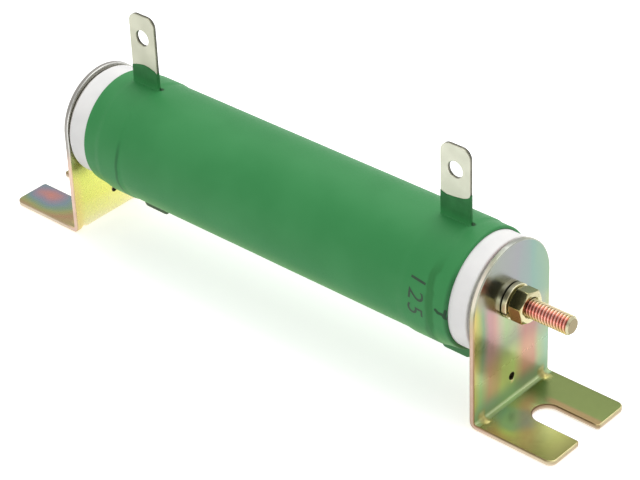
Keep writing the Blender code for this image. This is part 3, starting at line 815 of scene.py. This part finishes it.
# %% Tinned strip
def strip_finish(name, light, dark, roughness, tab_coat_and_shade):
    """Tinned metal with a slow drift between two tones. The tab is coated green, and at the head's
    end painted darker, as shade.
    """
    strip = Finish(name)
    px, py, pz = strip.xyz
    grain = use(GRAIN, Point=strip.point, Size=0.25)
    colour = mix(use(DRIFT, Point=strip.point, Size=6.0)["Amount"], light, dark)
    towards_nut = ease(px, -20.0, 20.0)
    colour = mix(towards_nut, tinted(1.0, colour, 0.86, 0.86, 0.83), colour)
    # Below the body the tab takes the coating's green; at the head's end it is painted darker, as
    # shade.
    on_tab = ease(pz, 15.2, 14.3)
    strip["Base Color"] = mix(on_tab, colour, mix(towards_nut, tab_coat_and_shade, (58, 126, 70)))
    strip["Metallic"] = 1.0 - on_tab * 0.8
    strip["Roughness"] = grain["Speckle"] * 0.08 + roughness
    strip["Normal"] = bumped(grain["Height"], 0.10, 0.03 * MM)
    return strip


TINNED = strip_finish("tinned_strip", (204, 205, 188), (192, 193, 176), 0.32, (62, 90, 60))
FRONT_CUT = strip_finish("front_cut_edge", (176, 172, 152), (150, 146, 128), 0.4, (44, 56, 42))
# The back half-strap's cut edge: painted shade, nearly black.
BACK_CUT_SHADED = strip_finish("back_cut_edge_shaded", (66, 62, 52), (50, 46, 38), 0.45, (44, 56, 42))
LUG_ROOT_HEIGHT = 46.0


def finish_strap(node, cut_finish, edge):
    """A rounded copy of a strap, its cut edges in a darker finish."""
    mesh = rounded_copy(node, node + "_metal", edge * MM)
    strap = add_piece(node + "_metal", mesh, [TINNED, cut_finish], [node])
    for face in mesh.polygons:
        cut = abs(face.normal.x) > 0.9 or face.center.z > LUG_ROOT_HEIGHT * MM
        face.material_index = 1 if cut and abs(face.normal.y) < 0.2 else 0
    keep_flats(strap)
    print(strap.name, len(mesh.polygons), "faces")


for end in ("nut_end", "head_end"):
    finish_strap(end + "_front_strap", FRONT_CUT, 0.12)
    finish_strap(end + "_back_strap", BACK_CUT_SHADED, 0.05)

# %% [markdown]
# ## Folded feet from a flat blank
# Each foot is punched from steel sheet as a flat blank, with its slot and holes, and then
# folded once. Two darts are pressed into the fold to stiffen it. The same order works in
# a mesh: the blank's outline is filled and given its thickness and soft edges, fine cuts
# are laid across the places that will bend, and every point is then moved to its folded
# place. A bevel on the folded solid would tear at the darts, and this way stays clean.
# On the blank, u runs from the foot's open end to the plate's round top, and v across.

# %% Flat blank
SHEET, SHEET_WIDTH = 1.4, 29.2
EDGE_SOFT = 0.28
FOOT_REACH = 24.6
FOLD_FROM, FOLD_RADIUS = 22.6, 1.3
FOLD_ARC = FOLD_RADIUS * math.pi / 2
FOLD_MIDDLE = FOLD_FROM + FOLD_ARC / 2
FOLD_CENTRE = 2.0
PLATE_INNER = 67.5
BOLT_HOLE, BOLT_HOLE_RADIUS = 52.642, 2.75
PLATING_HOLE, PLATING_HOLE_RADIUS = 30.242, 0.8
TOP_CENTRE = 53.442
CORNER = 2
SLOT_CENTRE, SLOT_HALF, SLOT_MOUTH = 12.3, 3.7, 0.8
DARTS = (-11.6, 11.6)


def arc(u, v, radius, start, end, steps):
    """Points along an arc, with the way that each faces out of the arc."""
    run = [math.radians(start + (end - start) * i / steps) for i in range(steps + 1)]
    return [(u + radius * math.cos(a), v + radius * math.sin(a), math.cos(a), math.sin(a))
            for a in run]


def hollow(points):
    """The same arc as the wall of an opening, so that it faces the other way."""
    return [(u, v, -nu, -nv) for u, v, nu, nv in points]


half = SHEET_WIDTH / 2
OUTLINE = (arc(CORNER, half - CORNER, CORNER, 180, 90, 10) + arc(TOP_CENTRE, 0, half, 90, -90, 72)
           + arc(CORNER, CORNER - half, CORNER, -90, -180, 10)
           + arc(SLOT_MOUTH, -SLOT_HALF - SLOT_MOUTH, SLOT_MOUTH, 180, 90, 8)
           + hollow(arc(SLOT_CENTRE, 0, SLOT_HALF, -90, 90, 32))
           + arc(SLOT_MOUTH, SLOT_HALF + SLOT_MOUTH, SLOT_MOUTH, -90, -180, 8))
HOLES = (hollow(arc(BOLT_HOLE, 0, BOLT_HOLE_RADIUS, 0, 352.5, 47)),
         hollow(arc(PLATING_HOLE, 0, PLATING_HOLE_RADIUS, 0, 345, 23)))
EDGE_PROFILE = [(EDGE_SOFT * (1 - math.sin(a)), SHEET / 2 - EDGE_SOFT * (1 - math.cos(a)))
                for a in (math.pi / 2 * i / 4 for i in range(5))]
EDGE_PROFILE += [(inset, -level) for inset, level in reversed(EDGE_PROFILE)]
FRONT, BACK, WALL, SOFT, SMALL = range(5)


def flat_blank():
    """The blank in (u, v, level), each face marked with its kind: front, back, wall and so on."""
    bm = bmesh.new()
    front, back = [], []
    for run in (OUTLINE,) + HOLES:
        rows = [[bm.verts.new((u - nu * inset, v - nv * inset, level)) for u, v, nu, nv in run]
                for inset, level in EDGE_PROFILE]
        for row, (a, b) in enumerate(zip(rows, rows[1:])):
            kind = SMALL if run is HOLES[1] else WALL if row == len(rows) // 2 - 1 else SOFT
            for i in range(len(run)):
                j = (i + 1) % len(run)
                bm.faces.new((a[i], a[j], b[j], b[i])).material_index = kind
        for rim, kept in ((rows[0], front), (rows[-1], back)):
            kept += [bm.edges.get((rim[i], rim[(i + 1) % len(rim)])) for i in range(len(rim))]
    for edges, kind in ((front, FRONT), (back, BACK)):
        made = bmesh.ops.triangle_fill(bm, use_beauty=True, edges=edges)
        for face in made["geom"]:
            if isinstance(face, bmesh.types.BMFace):
                face.material_index = kind
    return bm


def cut_across(bm, values, axis):
    """Lays fine cuts across the blank, at values along an axis."""
    for value in values:
        cut = Vector(axis) * float(value)
        bmesh.ops.bisect_plane(bm, geom=bm.verts[:] + bm.edges[:] + bm.faces[:],
                               plane_co=cut, plane_no=axis, dist=1e-5)


print("points along the blank's outline:", len(OUTLINE))

# %% Fold the blank
DART_HALF_WIDTH, DART_HALF_LENGTH = 1.4, 2.7
DART_RISE_INSIDE, DART_RISE_OUTSIDE = 0.85, 0.4
BURR_HEIGHT = 0.28
FOLD_CUTS, CUT_STEP = 13, 0.2


def folded_place(u, v, level):
    """Where a point of the blank ends up: mm from the plate's inner face, and height."""
    if u <= FOLD_FROM:
        x, z = FOOT_REACH - u, SHEET / 2 + level
    elif u < FOLD_FROM + FOLD_ARC:
        a = (u - FOLD_FROM) / FOLD_RADIUS
        reach = FOLD_RADIUS - level
        x, z = FOLD_CENTRE - reach * math.sin(a), FOLD_CENTRE - reach * math.cos(a)
    else:
        x, z = SHEET / 2 + level, FOLD_CENTRE + (u - FOLD_FROM - FOLD_ARC)
    rise = DART_RISE_INSIDE if level > 0 else DART_RISE_OUTSIDE
    for dart in DARTS:
        press = step(abs(v - dart), DART_HALF_WIDTH, 0.2)
        press *= max(0.0, 1 - ((u - FOLD_MIDDLE) / DART_HALF_LENGTH) ** 2) ** 1.3
        crumple = 1 + 0.2 * noise.noise(Vector((u * 0.9, v * 1.1, dart)))
        lift = press * crumple * rise / math.sqrt(2)
        x, z = x + lift, z + lift
    if level > 0:
        off_u, off_v = u - PLATING_HOLE + 1.5, v - 0.25
        x += BURR_HEIGHT * math.exp(-(off_u / 0.55) ** 2 - (off_v / 0.5) ** 2)
    return x, z


def folded_sheet(name, side):
    """The finished foot's mesh. side is 1 at the nut's end and -1 at the head's."""
    bm = flat_blank()
    cut_across(bm, np.linspace(FOLD_FROM, FOLD_FROM + FOLD_ARC, FOLD_CUTS), (1, 0, 0))
    cut_across(bm, [FOLD_MIDDLE + s * d for s in (-1, 1) for d in np.arange(1.25, 3.1, 0.22)],
               (1, 0, 0))
    cut_across(bm, np.arange(PLATING_HOLE - 3.0, PLATING_HOLE - CUT_STEP, CUT_STEP), (1, 0, 0))
    for dart in DARTS:
        cut_across(bm, dart + np.arange(-DART_HALF_WIDTH, DART_HALF_WIDTH + 0.01, CUT_STEP),
                   (0, 1, 0))
    cut_across(bm, np.arange(-1.0, 1.5, CUT_STEP), (0, 1, 0))
    for vertex in bm.verts:
        x, z = folded_place(*vertex.co)
        vertex.co = (side * (PLATE_INNER + x) * MM, side * vertex.co.y * MM, z * MM)
    return finish_mesh(bm, name, 50)


print("bolt hole after folding, x and z in mm:", folded_place(BOLT_HOLE, 0.0, SHEET / 2))


# %% [markdown]
# ### Plating and its film colours
# The feet are zinc-plated and then passivated yellow. The passivation film is so thin that
# it shows colours of thin films, as oil on water does. On the plate the film grew thicker
# from one side to the other, so upright stripes of straw, teal, pink and green follow each
# other. Low down it is thicker and darker, and near the top it is almost clear.
# One rule over the place gives the colour. A picture could be projected instead, but a rule
# stays sharp at any size and needs no file.

# %% Plating
def plate(finish, colour, roughness, spread=0.03):
    """The parts that every plated piece shares: metal with a fine unevenness."""
    grain = use(GRAIN, Point=finish.point, Size=1.4)
    finish["Base Color"] = colour
    finish["Metallic"] = 1.0
    finish["Roughness"] = grain["Speckle"] * spread + roughness
    finish["Normal"] = bumped(grain["Height"], 0.012, 0.03 * MM)


DART_X, DART_Z = 70.2, 2.7


def dart_mask(px, py, pz):
    """A mask for the two darts, whose plating is given a gold colour and more roughness."""
    near_fold = abs(abs(px) - DART_X) + abs(pz - DART_Z)
    return ease(near_fold, 3.6, 1.0) * ease(abs(abs(py) - DARTS[1]), 1.9, 0.7)


print("darts at y:", DARTS)

# %% Film on the nut's plate
nut_front = Finish("nut_end_zinc_front")
px, py, pz = nut_front.xyz
swing = use(DRIFT, Point=nut_front.point, Size=8.0, Stretch=(1, 1, 0.4))["Swing"]
height = swing * 9.0 + pz
stripes = use(FILM, Thickness=swing * 0.09 + (py * 0.025 + 0.505))["Color"]
# Darker left of the nut, above mid-height: painted shade beside the nut.
shade_beside_nut = ease(py, -3.5, -8.0) * ease(height, 18.0, 24.0)
stripes = tinted(shade_beside_nut, stripes, 0.70, 0.71, 0.70)
clear = by_place(swing * 9.0 + py, [
    (-14.6, (160, 154, 132)), (-6, (144, 150, 142)), (2, (144, 145, 148)), (8, (128, 156, 146)),
    (14.6, (140, 164, 138))])
thick = by_place(swing * 4.0 + py, [
    (-14.6, (226, 208, 104)), (-11.5, (178, 210, 138)), (-8.5, (216, 174, 132)),
    (-5.5, (214, 190, 130)), (-3, (214, 226, 136)), (1.5, (216, 236, 140)), (5, (226, 172, 140)),
    (8.5, (220, 168, 142)), (11, (190, 206, 156)), (14.6, (168, 206, 178))])
plate_colour = mix(ease(py * 0.35 + height, 26.0, 32.0), stripes, clear)
plate_colour = mix(ease(height, 20.0, 12.0), plate_colour, thick)
plate_colour = mix(ease(pz, 8.0, 3.0) * 0.8, plate_colour, (138, 182, 138))
print("film on the plate:", len(nut_front.tree.nodes), "nodes")

# %% [markdown]
# The foot lies flat and mirrors the tent evenly, so its film shows a plain olive. It runs
# paler beside the fold and pinker along the near edge and the slot, where the bath drained
# off. One bluish patch lies in front of the fold. Each of these is a mask laid over the
# colour before it, as a painter would work from the ground up.

# %% Film on the nut's foot
near_leg = by_place(px, [(70, (200, 206, 152)), (76, (208, 218, 158)), (82, (204, 208, 136)),
                         (87, (164, 166, 98)), (92, (124, 122, 72))])
foot_colour = mix(ease(py, -1.0, 5.0), near_leg, (117, 130, 77))
pink_edge = ease(py, -11.5, -14.0) * ease(px, 84.0, 76.0)
foot_colour = mix(pink_edge * 0.7, foot_colour, (206, 168, 134))
beside_fold = ease(px, 79.0, 72.0) * ease(py, 7.0, 0.0)
foot_colour = mix(beside_fold * 0.7, foot_colour, (184, 186, 138))
off_patch = vector_sum("DISTANCE", vector_sum("MULTIPLY", nut_front.point, (1, 1.1, 0)),
                       (74.6, -7.4, 0))
foot_colour = mix(ease(swing * 6.0 + off_patch, 7.0, 2.5), foot_colour, (160, 190, 172))
by_slot = ease(abs(py - 4.6), 1.7, 0.4) * ease(px, 74.5, 78.0)
foot_colour = mix(by_slot * 0.55, foot_colour, (168, 124, 96))
print("film on the foot:", len(nut_front.tree.nodes), "nodes")

# %% [markdown]
# The two films meet in the fold, and a pale line along the inside of the bend is a painted
# highlight. The darts and the small burr under the hole are paler.
# Low on the plate the thick film is a little milky: it scatters light where the clear film
# above it mirrors, so it is given less metal and more roughness there. With plain metal
# that part would mirror the dark foot and look too deep.

# %% Whole finish at the nut's end
colour = mix(ease(px, 69.9, 70.7), plate_colour, foot_colour)
# A pale line along the inside of the fold: painted highlight on the bend.
fold_highlight = ease(px, 70.3, 69.9) * ease(pz, 2.2, 1.9)
colour = mix(fold_highlight * 0.4, colour, (214, 222, 160))
on_dart = dart_mask(px, py, pz)
colour = mix(on_dart, colour, (188, 178, 112))
off_burr = vector_sum("DISTANCE", nut_front.point, (69.0, 0.2, 6.1))
colour = mix(ease(off_burr, 0.9, 0.4), colour, (225, 222, 150))
dull = blend(ease(pz, 16.0, 7.0), 0.19, 0.36)
dull = blend(ease(px, 69.9, 70.7), dull, 0.24)
plate(nut_front, colour, on_dart * 0.15 + dull)
milky = ease(height, 26.0, 17.0) * ease(px, 70.7, 69.9)
nut_front["Metallic"] = 1.0 - milky * 0.62
print("front finish at the nut's end:", len(nut_front.tree.nodes), "nodes")

# %% [markdown]
# At the head's end the photograph shows the side that faces the tube. Its film is a pale, even
# yellow that clears towards the top. A dimmer band at mid-height and a dark olive spot in it are
# painted reflection of the shade under the tube. The other side and the foot's upper side are seen
# less, and carry rings of pink, blue and green such as a drying drop leaves.

# %% Film on the head's end, inner side
head_back = Finish("head_end_zinc_back")
px, py, pz = head_back.xyz
height = use(DRIFT, Point=head_back.point, Size=9.0)["Swing"] * 6.0 + pz
# The dimmer stop at 22 mm is painted reflection of the shade under the tube.
colour = by_place(height, [
    (0, (240, 232, 192)), (3.5, (238, 232, 160)), (9, (232, 229, 126)), (17, (230, 232, 122)),
    (22, (190, 196, 120)), (28, (196, 196, 180)), (46, (200, 200, 194))])
beside_edge = ease(py, -10.5, -14.0) * ease(pz, 22.0, 12.0)
colour = mix(beside_edge * 0.7, colour, (238, 208, 138))
# A dark olive spot at mid-height: painted reflection of the shade under the tube.
off_shade_reflection = vector_sum("DISTANCE", vector_sum("MULTIPLY", head_back.point, (0, 1, 1.6)),
                      (0, -12.0, 33.0))
colour = mix(ease(off_shade_reflection, 3.2, 0.8) * 0.8, colour, (150, 150, 70))
plate(head_back, colour, 0.26)
print("inner side:", len(head_back.tree.nodes), "nodes")

# %% Film on the head's end, outer side
head_front = Finish("head_end_zinc_front")
px, py, pz = head_front.xyz
swing = use(DRIFT, Point=head_front.point, Size=5.0)["Swing"]
centred = vector_sum("MULTIPLY", vector_sum("SUBTRACT", head_front.point, (-86.5, -7.0, 1.4)),
                     (1 / 14, 1 / 8.5, 0))
rings_colour = by_place(swing * 0.35 + vector_sum("DISTANCE", centred, (0, 0, 0)), [
    (0.0, (188, 128, 118)), (0.14, (174, 128, 126)), (0.28, (146, 130, 142)),
    (0.46, (120, 138, 146)), (0.63, (124, 146, 120)), (0.80, (150, 150, 98)),
    (1.0, (164, 132, 98)), (1.4, (158, 148, 102))])
plate_colour = use(FILM, Thickness=py * -0.02 + (swing * 0.2 + 0.42))["Color"]
on_dart = dart_mask(px, py, pz)
colour = mix(on_dart, mix(ease(pz, 1.9, 2.8), rings_colour, plate_colour), (206, 190, 120))
plate(head_front, colour, on_dart * 0.15 + 0.26)
print("outer side:", len(head_front.tree.nodes), "nodes")

# %% Film on the nut's end, inner side
nut_back = Finish("nut_end_zinc_back")
swing = use(DRIFT, Point=nut_back.point, Size=7.0)["Swing"]
thickness = swing * 0.5 + (nut_back.xyz[2] * 0.012 + 0.1)
plate(nut_back, use(FILM, Thickness=thickness)["Color"], 0.26)
print("inner side at the nut's end:", len(nut_back.tree.nodes), "nodes")

# %% [markdown]
# ### Cut edges
# The wall in the middle of the edge is lighter, and the soft rim on both sides of it is darker. Both
# take the film's tone of the place they are in, so one rule serves both: along x low down, and by
# height near the top of the plates. The underside is painted paler, as light from the white floor,
# and the small hole's wall is painted nearly black, as shade.


# %% Cut edges
def edge_finish(name, along, up, far_tone, painted_bottom_tone):
    """A cut edge's finish: it follows x low down and z near the top of the plates."""
    edge = Finish(name)
    px, py, pz = edge.xyz
    drift = use(DRIFT, Point=edge.point, Size=4.0)
    low_colour = tinted(drift["Amount"] * 0.5, by_place(px, along), 0.84, 0.78, 0.74)
    in_slot = ease(abs(py), 4.9, 4.2) * ease(pz, 2.0, 1.5)
    low_colour = tinted(in_slot, low_colour, 0.70, 0.62, 0.56)
    # The bottom of the edge gets its own painted tone: light from the white floor on the outer
    # edges, shade in the small hole.
    low_colour = mix(ease(pz, 0.8, 0.2) * 0.8, low_colour, painted_bottom_tone)
    high_colour = by_place(drift["Swing"] * 2.0 + pz, up)
    colour = mix(ease(drift["Swing"] * 14.0 + pz, 20.0, 30.0), low_colour, high_colour)
    far_top = ease(px, 0.0, -50.0) * ease(pz, 20.0, 28.0)
    plate(edge, mix(far_top, colour, far_tone), 0.30, 0.12)
    return edge


CUT_WALL = edge_finish(
    "sheared_wall",
    [(-92, (194, 184, 162)), (-72, (196, 182, 162)), (-69, (212, 186, 172)),
     (60, (196, 172, 150)), (70, (196, 168, 152)), (77, (198, 180, 156)),
     (91, (194, 180, 150)), (92, (176, 160, 128))],
    [(24, (192, 166, 148)), (29, (190, 170, 140)), (33, (180, 178, 154)), (36, (216, 208, 190)),
     (40.5, (232, 222, 208)), (42.8, (196, 190, 172)), (44.2, (144, 148, 128)),
     (45.4, (156, 158, 150))],
    (150, 147, 142), (222, 206, 188))
SOFT_RIM = edge_finish(
    "soft_rim",
    [(-92, (168, 150, 120)), (-72, (168, 148, 118)), (-70, (216, 190, 156)),
     (60, (166, 140, 110)), (71, (158, 130, 98)), (76, (130, 114, 84)),
     (90.4, (130, 116, 86)), (91.6, (206, 196, 152))],
    [(24, (178, 150, 112)), (29, (182, 160, 116)), (33, (140, 138, 106)), (37, (170, 170, 150)),
     (41, (178, 180, 166)), (44, (168, 172, 156)), (45.4, (160, 163, 156))],
    (200, 199, 194), (226, 212, 192))
# The small hole's wall is painted nearly black: painted shade inside the hole.
HOLE_SHADE_TONE, HOLE_EDGE_SHADE_TONE = (50, 46, 30), (40, 36, 24)
SHADED_SMALL_HOLE = edge_finish("small_hole_wall_shaded", [(-92, HOLE_SHADE_TONE), (92, HOLE_SHADE_TONE)],
                         [(24, HOLE_SHADE_TONE), (45, HOLE_SHADE_TONE)], HOLE_EDGE_SHADE_TONE, HOLE_EDGE_SHADE_TONE)

for end, side, front_finish, back_finish in (("nut_end", 1, nut_front, nut_back),
                                             ("head_end", -1, head_front, head_back)):
    foot = add_piece(end + "_folded_foot", folded_sheet(end + "_folded_foot", side),
                     [front_finish, back_finish, CUT_WALL, SOFT_RIM, SHADED_SMALL_HOLE],
                     [end + "_bracket"])
    keep_flats(foot)
    print(foot.name, len(foot.data.polygons), "faces")

# %% [markdown]
# ## Bolt with its thread
# A thread is a ridge that climbs one pitch each turn. It could be cut with a Boolean, but
# that is slow and ragged. Here the bolt is a skin of close rings whose radius at each
# point follows the thread's own rule, so the ridge comes out clean and right-handed.

# %% Threaded bolt
PITCH = 0.88
THREAD_OUTER, THREAD_INNER = 2.45, 2.02
THREAD_FROM, BOLT_END = 64.0, 86.6
END_CHAMFER, END_CAP_RADIUS = 0.62, 0.9
HEAD_FACE, HEAD_HEIGHT = -69.1, 3.5
HEX_ACROSS_FLATS = 8.0


def thread_radius(angle, x):
    """The bolt's radius in mm: flat crests, sloped flanks and rounded roots."""
    phase = (x / PITCH - angle / (2 * math.pi)) % 1.0
    ridge = 1 - abs(2 * phase - 1)
    ridge = min(1.0, max(0.0, (ridge - 0.12) / 0.66))
    ridge = ridge * ridge * (3 - 2 * ridge) * 0.5 + ridge * 0.5
    cut = step(x, THREAD_FROM - 0.5, THREAD_FROM + 1.0)
    radius = THREAD_OUTER - (THREAD_OUTER - THREAD_INNER) * (1 - ridge) * cut
    return min(radius, THREAD_OUTER - END_CHAMFER + max(0.0, BOLT_END - x))


bolt_angles = full_turn(64)
bolt_places = [HEAD_FACE - 0.5, THREAD_FROM - 0.6]
bolt_places += list(np.arange(THREAD_FROM - 0.5, BOLT_END, PITCH / 14)) + [BOLT_END]
rings = [[around(a, thread_radius(a, x), x) for a in bolt_angles] for x in bolt_places]
rings.append([around(a, END_CAP_RADIUS, BOLT_END) for a in bolt_angles])
shank_mesh = skin("bolt_shank", rings, close_ends=True)
print("thread rings:", len(rings))

# %% Bolt finish
bolt_finish = Finish("bolt_zinc")
px, py, pz = bolt_finish.xyz
swing = use(DRIFT, Point=bolt_finish.point, Size=3.0)["Swing"]
colour = by_place(swing * 40.0 + degrees_around(py, pz), [
    (40, (200, 190, 130)), (85, (216, 206, 164)), (115, (232, 168, 154)), (165, (226, 152, 140)),
    (200, (206, 180, 120)), (250, (200, 192, 118)), (360, (190, 180, 120))])
bright = ease(px, 76.5, 79.0) * ease(px, 85.0, 82.5)
colour = mix(bright * 0.25, colour, (236, 196, 184))
# Darker in the thread's grooves: painted shade.
off_axis = vector_sum("DISTANCE", vector_sum("MULTIPLY", bolt_finish.point, (0, 1, 1)),
                      (0, 0, AXIS_HEIGHT))
colour = mix(ease(off_axis, 2.30, 2.06) * 0.75, colour, (122, 70, 50))
# Darker next to the nut: painted shadow of the nut on the stud.
colour = tinted(ease(px, 77.0, 74.6) * 0.6, colour, 0.45, 0.4, 0.36)
colour = mix(ease(px, BOLT_END - 0.75, BOLT_END - 0.55), colour, (196, 190, 156))
colour = mix(ease(px, BOLT_END - 0.08, BOLT_END - 0.03), colour, (147, 135, 104))
plate(bolt_finish, colour, 0.24)
print("bolt finish:", len(bolt_finish.tree.nodes), "nodes")


# %% [markdown]
# ## Hexagons: the nut and the bolt's head
# A hexagon with chamfered corners is a turned shape cut by six flats. Rings of points give
# it directly: at each angle the flat sets the radius, and the chamfer's cone sets how high
# that radius may reach.

# %% Hexagons
NUT_FROM, NUT_HEIGHT = 70.6, 4.0
NUT_CORNER, HEAD_CORNER = 103.0, 90.0
NUT_BORE, BORE_CHAMFER = 2.5, 0.35


def hexagon_rings(face_x, back_x, first_corner, bore=None, chamfer_back=True, steps=180):
    """Rings for a hexagon from its back to its face, with an optional bore."""
    half = HEX_ACROSS_FLATS / 2
    circle = 0.95 * half
    direction = 1 if face_x > back_x else -1
    slope = direction * math.tan(math.radians(30))
    turns = [math.radians(first_corner + 360 * i / steps) for i in range(steps)]

    def flat_radius(a):
        off_flat = (math.degrees(a) - first_corner) % 60 - 30
        return half / math.cos(math.radians(off_flat))

    def drop(a):
        return (flat_radius(a) - circle) * slope

    def even_ring(radius, x):
        return [around(a, radius, x) for a in turns]

    rings = [even_ring(circle, back_x),
             [around(a, flat_radius(a), back_x + (drop(a) if chamfer_back else 0.0)) for a in turns],
             [around(a, flat_radius(a), face_x - drop(a)) for a in turns],
             even_ring(circle, face_x)]
    if bore:
        chamfer = direction * BORE_CHAMFER
        rings = ([even_ring(bore, back_x + chamfer), even_ring(bore + BORE_CHAMFER, back_x)] + rings
                 + [even_ring(bore + BORE_CHAMFER, face_x), even_ring(bore, face_x - chamfer)])
    return rings


nut_mesh = skin("nut_body", hexagon_rings(NUT_FROM + NUT_HEIGHT, NUT_FROM, NUT_CORNER, NUT_BORE),
                close_rings=True)
head_mesh = skin("head_body", hexagon_rings(HEAD_FACE - HEAD_HEIGHT, HEAD_FACE, HEAD_CORNER,
                                            chamfer_back=False), close_ends=True)
print("nut faces:", len(nut_mesh.polygons))


# %% Nut and washer finishes
def plated(name, light, dark, size, roughness):
    """Passivated zinc on a small piece, drifting between two tones of the film."""
    finish = Finish(name)
    plate(finish, mix(use(DRIFT, Point=finish.point, Size=size)["Amount"], light, dark), roughness)
    return finish


nut_finish = Finish("nut_zinc")
px, py, pz = nut_finish.xyz
swing = use(DRIFT, Point=nut_finish.point, Size=2.5)["Swing"]
turn_angle = swing * 20.0 + degrees_around(py, pz)
colour = by_place(turn_angle, [
    (0, (176, 172, 130)), (90, (176, 172, 128)), (115, (178, 174, 122)), (158, (168, 160, 108)),
    (172, (168, 144, 84)), (230, (176, 150, 88)), (360, (176, 172, 130))])
nut_face = NUT_FROM + NUT_HEIGHT
colour = mix(ease(px, nut_face - 0.35, nut_face - 0.1), colour, (208, 200, 158))
plate(nut_finish, colour, 0.17)
on_top = ease(turn_angle, 108.0, 98.0) * ease(turn_angle, 20.0, 40.0)
nut_finish["Metallic"] = 1.0 - on_top * 0.35

washer_finish = plated("washer_zinc", (240, 236, 206), (220, 212, 172), 2.5, 0.32)
head_finish = plated("head_zinc", (206, 190, 130), (196, 160, 130), 4.0, 0.22)

add_piece("bolt_with_thread", shank_mesh, [bolt_finish], ["through_bolt"])
head = add_piece("bolt_head_hexagon", head_mesh, [head_finish])
nut = add_piece("nut_with_chamfers", nut_mesh, [nut_finish], ["hex_nut"])
for piece in (nut, head):
    soft = piece.modifiers.new("worn_edges", "BEVEL")
    soft.width = 0.09 * MM
    soft.segments = 2
    soft.limit_method = "ANGLE"
    soft.angle_limit = math.radians(28)
    keep_flats(piece)
print("bolt, head and nut made")

# %% [markdown]
# ## Split spring washer
# A spring washer is a square wire bent once round the bolt, with its ends split apart. A
# wire's section is carried round the axis while it moves slowly along it, so that the two
# ends stand a little apart at the split, as the real one's do.

# %% Split spring washer
WASHER_SPLIT, WASHER_GAP = 198.0, 7.0
WASHER_INNER = 2.6
WIRE_THICK, WIRE_ROUND = 1.3, 0.16
washer_low, washer_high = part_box("spring_washer")
washer_from, washer_to = washer_low[0] / MM, washer_high[0] / MM
washer_outer = (washer_high[1] - washer_low[1]) / 2 / MM
washer_radius = (washer_outer + WASHER_INNER) / 2
section = loop_around(WIRE_THICK / 2, (washer_outer - WASHER_INNER) / 2, WIRE_ROUND)
turns = np.radians(WASHER_SPLIT + WASHER_GAP / 2 + np.linspace(0, 360 - WASHER_GAP, 121))
rings = []
for i, a in enumerate(turns):
    shift = (washer_to - washer_from - WIRE_THICK) * i / (len(turns) - 1)
    centre = washer_from + WIRE_THICK / 2 + shift
    rings.append([around(a, washer_radius + r, centre + x) for x, r in section])
washer = add_piece("split_spring_washer", skin("split_spring_washer", rings, close_ends=True),
                   [washer_finish], ["spring_washer"])
keep_flats(washer)
print("washer from", round(washer_from, 2), "to", round(washer_to, 2))


# %% [markdown]
# ## Insulating washers, cups and ribbon
# These pieces are hidden or show only an edge. Their solids have the right shape, so each
# keeps its solid and gets a finish of its own: a soft grey sheet, plain zinc, and the dull
# warm metal of a resistance alloy.

# %% Hidden pieces
def plain_finish(name, light, dark, roughness, metallic, size):
    """A simple finish with a drift between two colours and a fine grain."""
    finish = Finish(name)
    drift = use(DRIFT, Point=finish.point, Size=size)
    grain = use(GRAIN, Point=finish.point, Size=size / 20)
    finish["Base Color"] = mix(drift["Amount"], light, dark)
    finish["Metallic"] = metallic
    finish["Roughness"] = grain["Speckle"] * 0.1 + roughness
    return finish


MICA = plain_finish("mica_sheet", (186, 182, 174), (160, 155, 146), 0.5, 0.0, 5.0)
CUP = plain_finish("cup_zinc", (205, 205, 200), (190, 190, 184), 0.3, 1.0, 8.0)
ALLOY = plain_finish("ribbon_alloy", (176, 170, 162), (150, 140, 128), 0.35, 1.0, 4.0)
for node, finish in (("nut_end_insulating_washer", MICA), ("head_end_insulating_washer", MICA),
                     ("nut_end_centring_cup", CUP), ("head_end_centring_cup", CUP),
                     ("resistance_winding", ALLOY)):
    solids[node].data.materials.clear()
    solids[node].data.materials.append(finish.material)
print("hidden pieces finished")
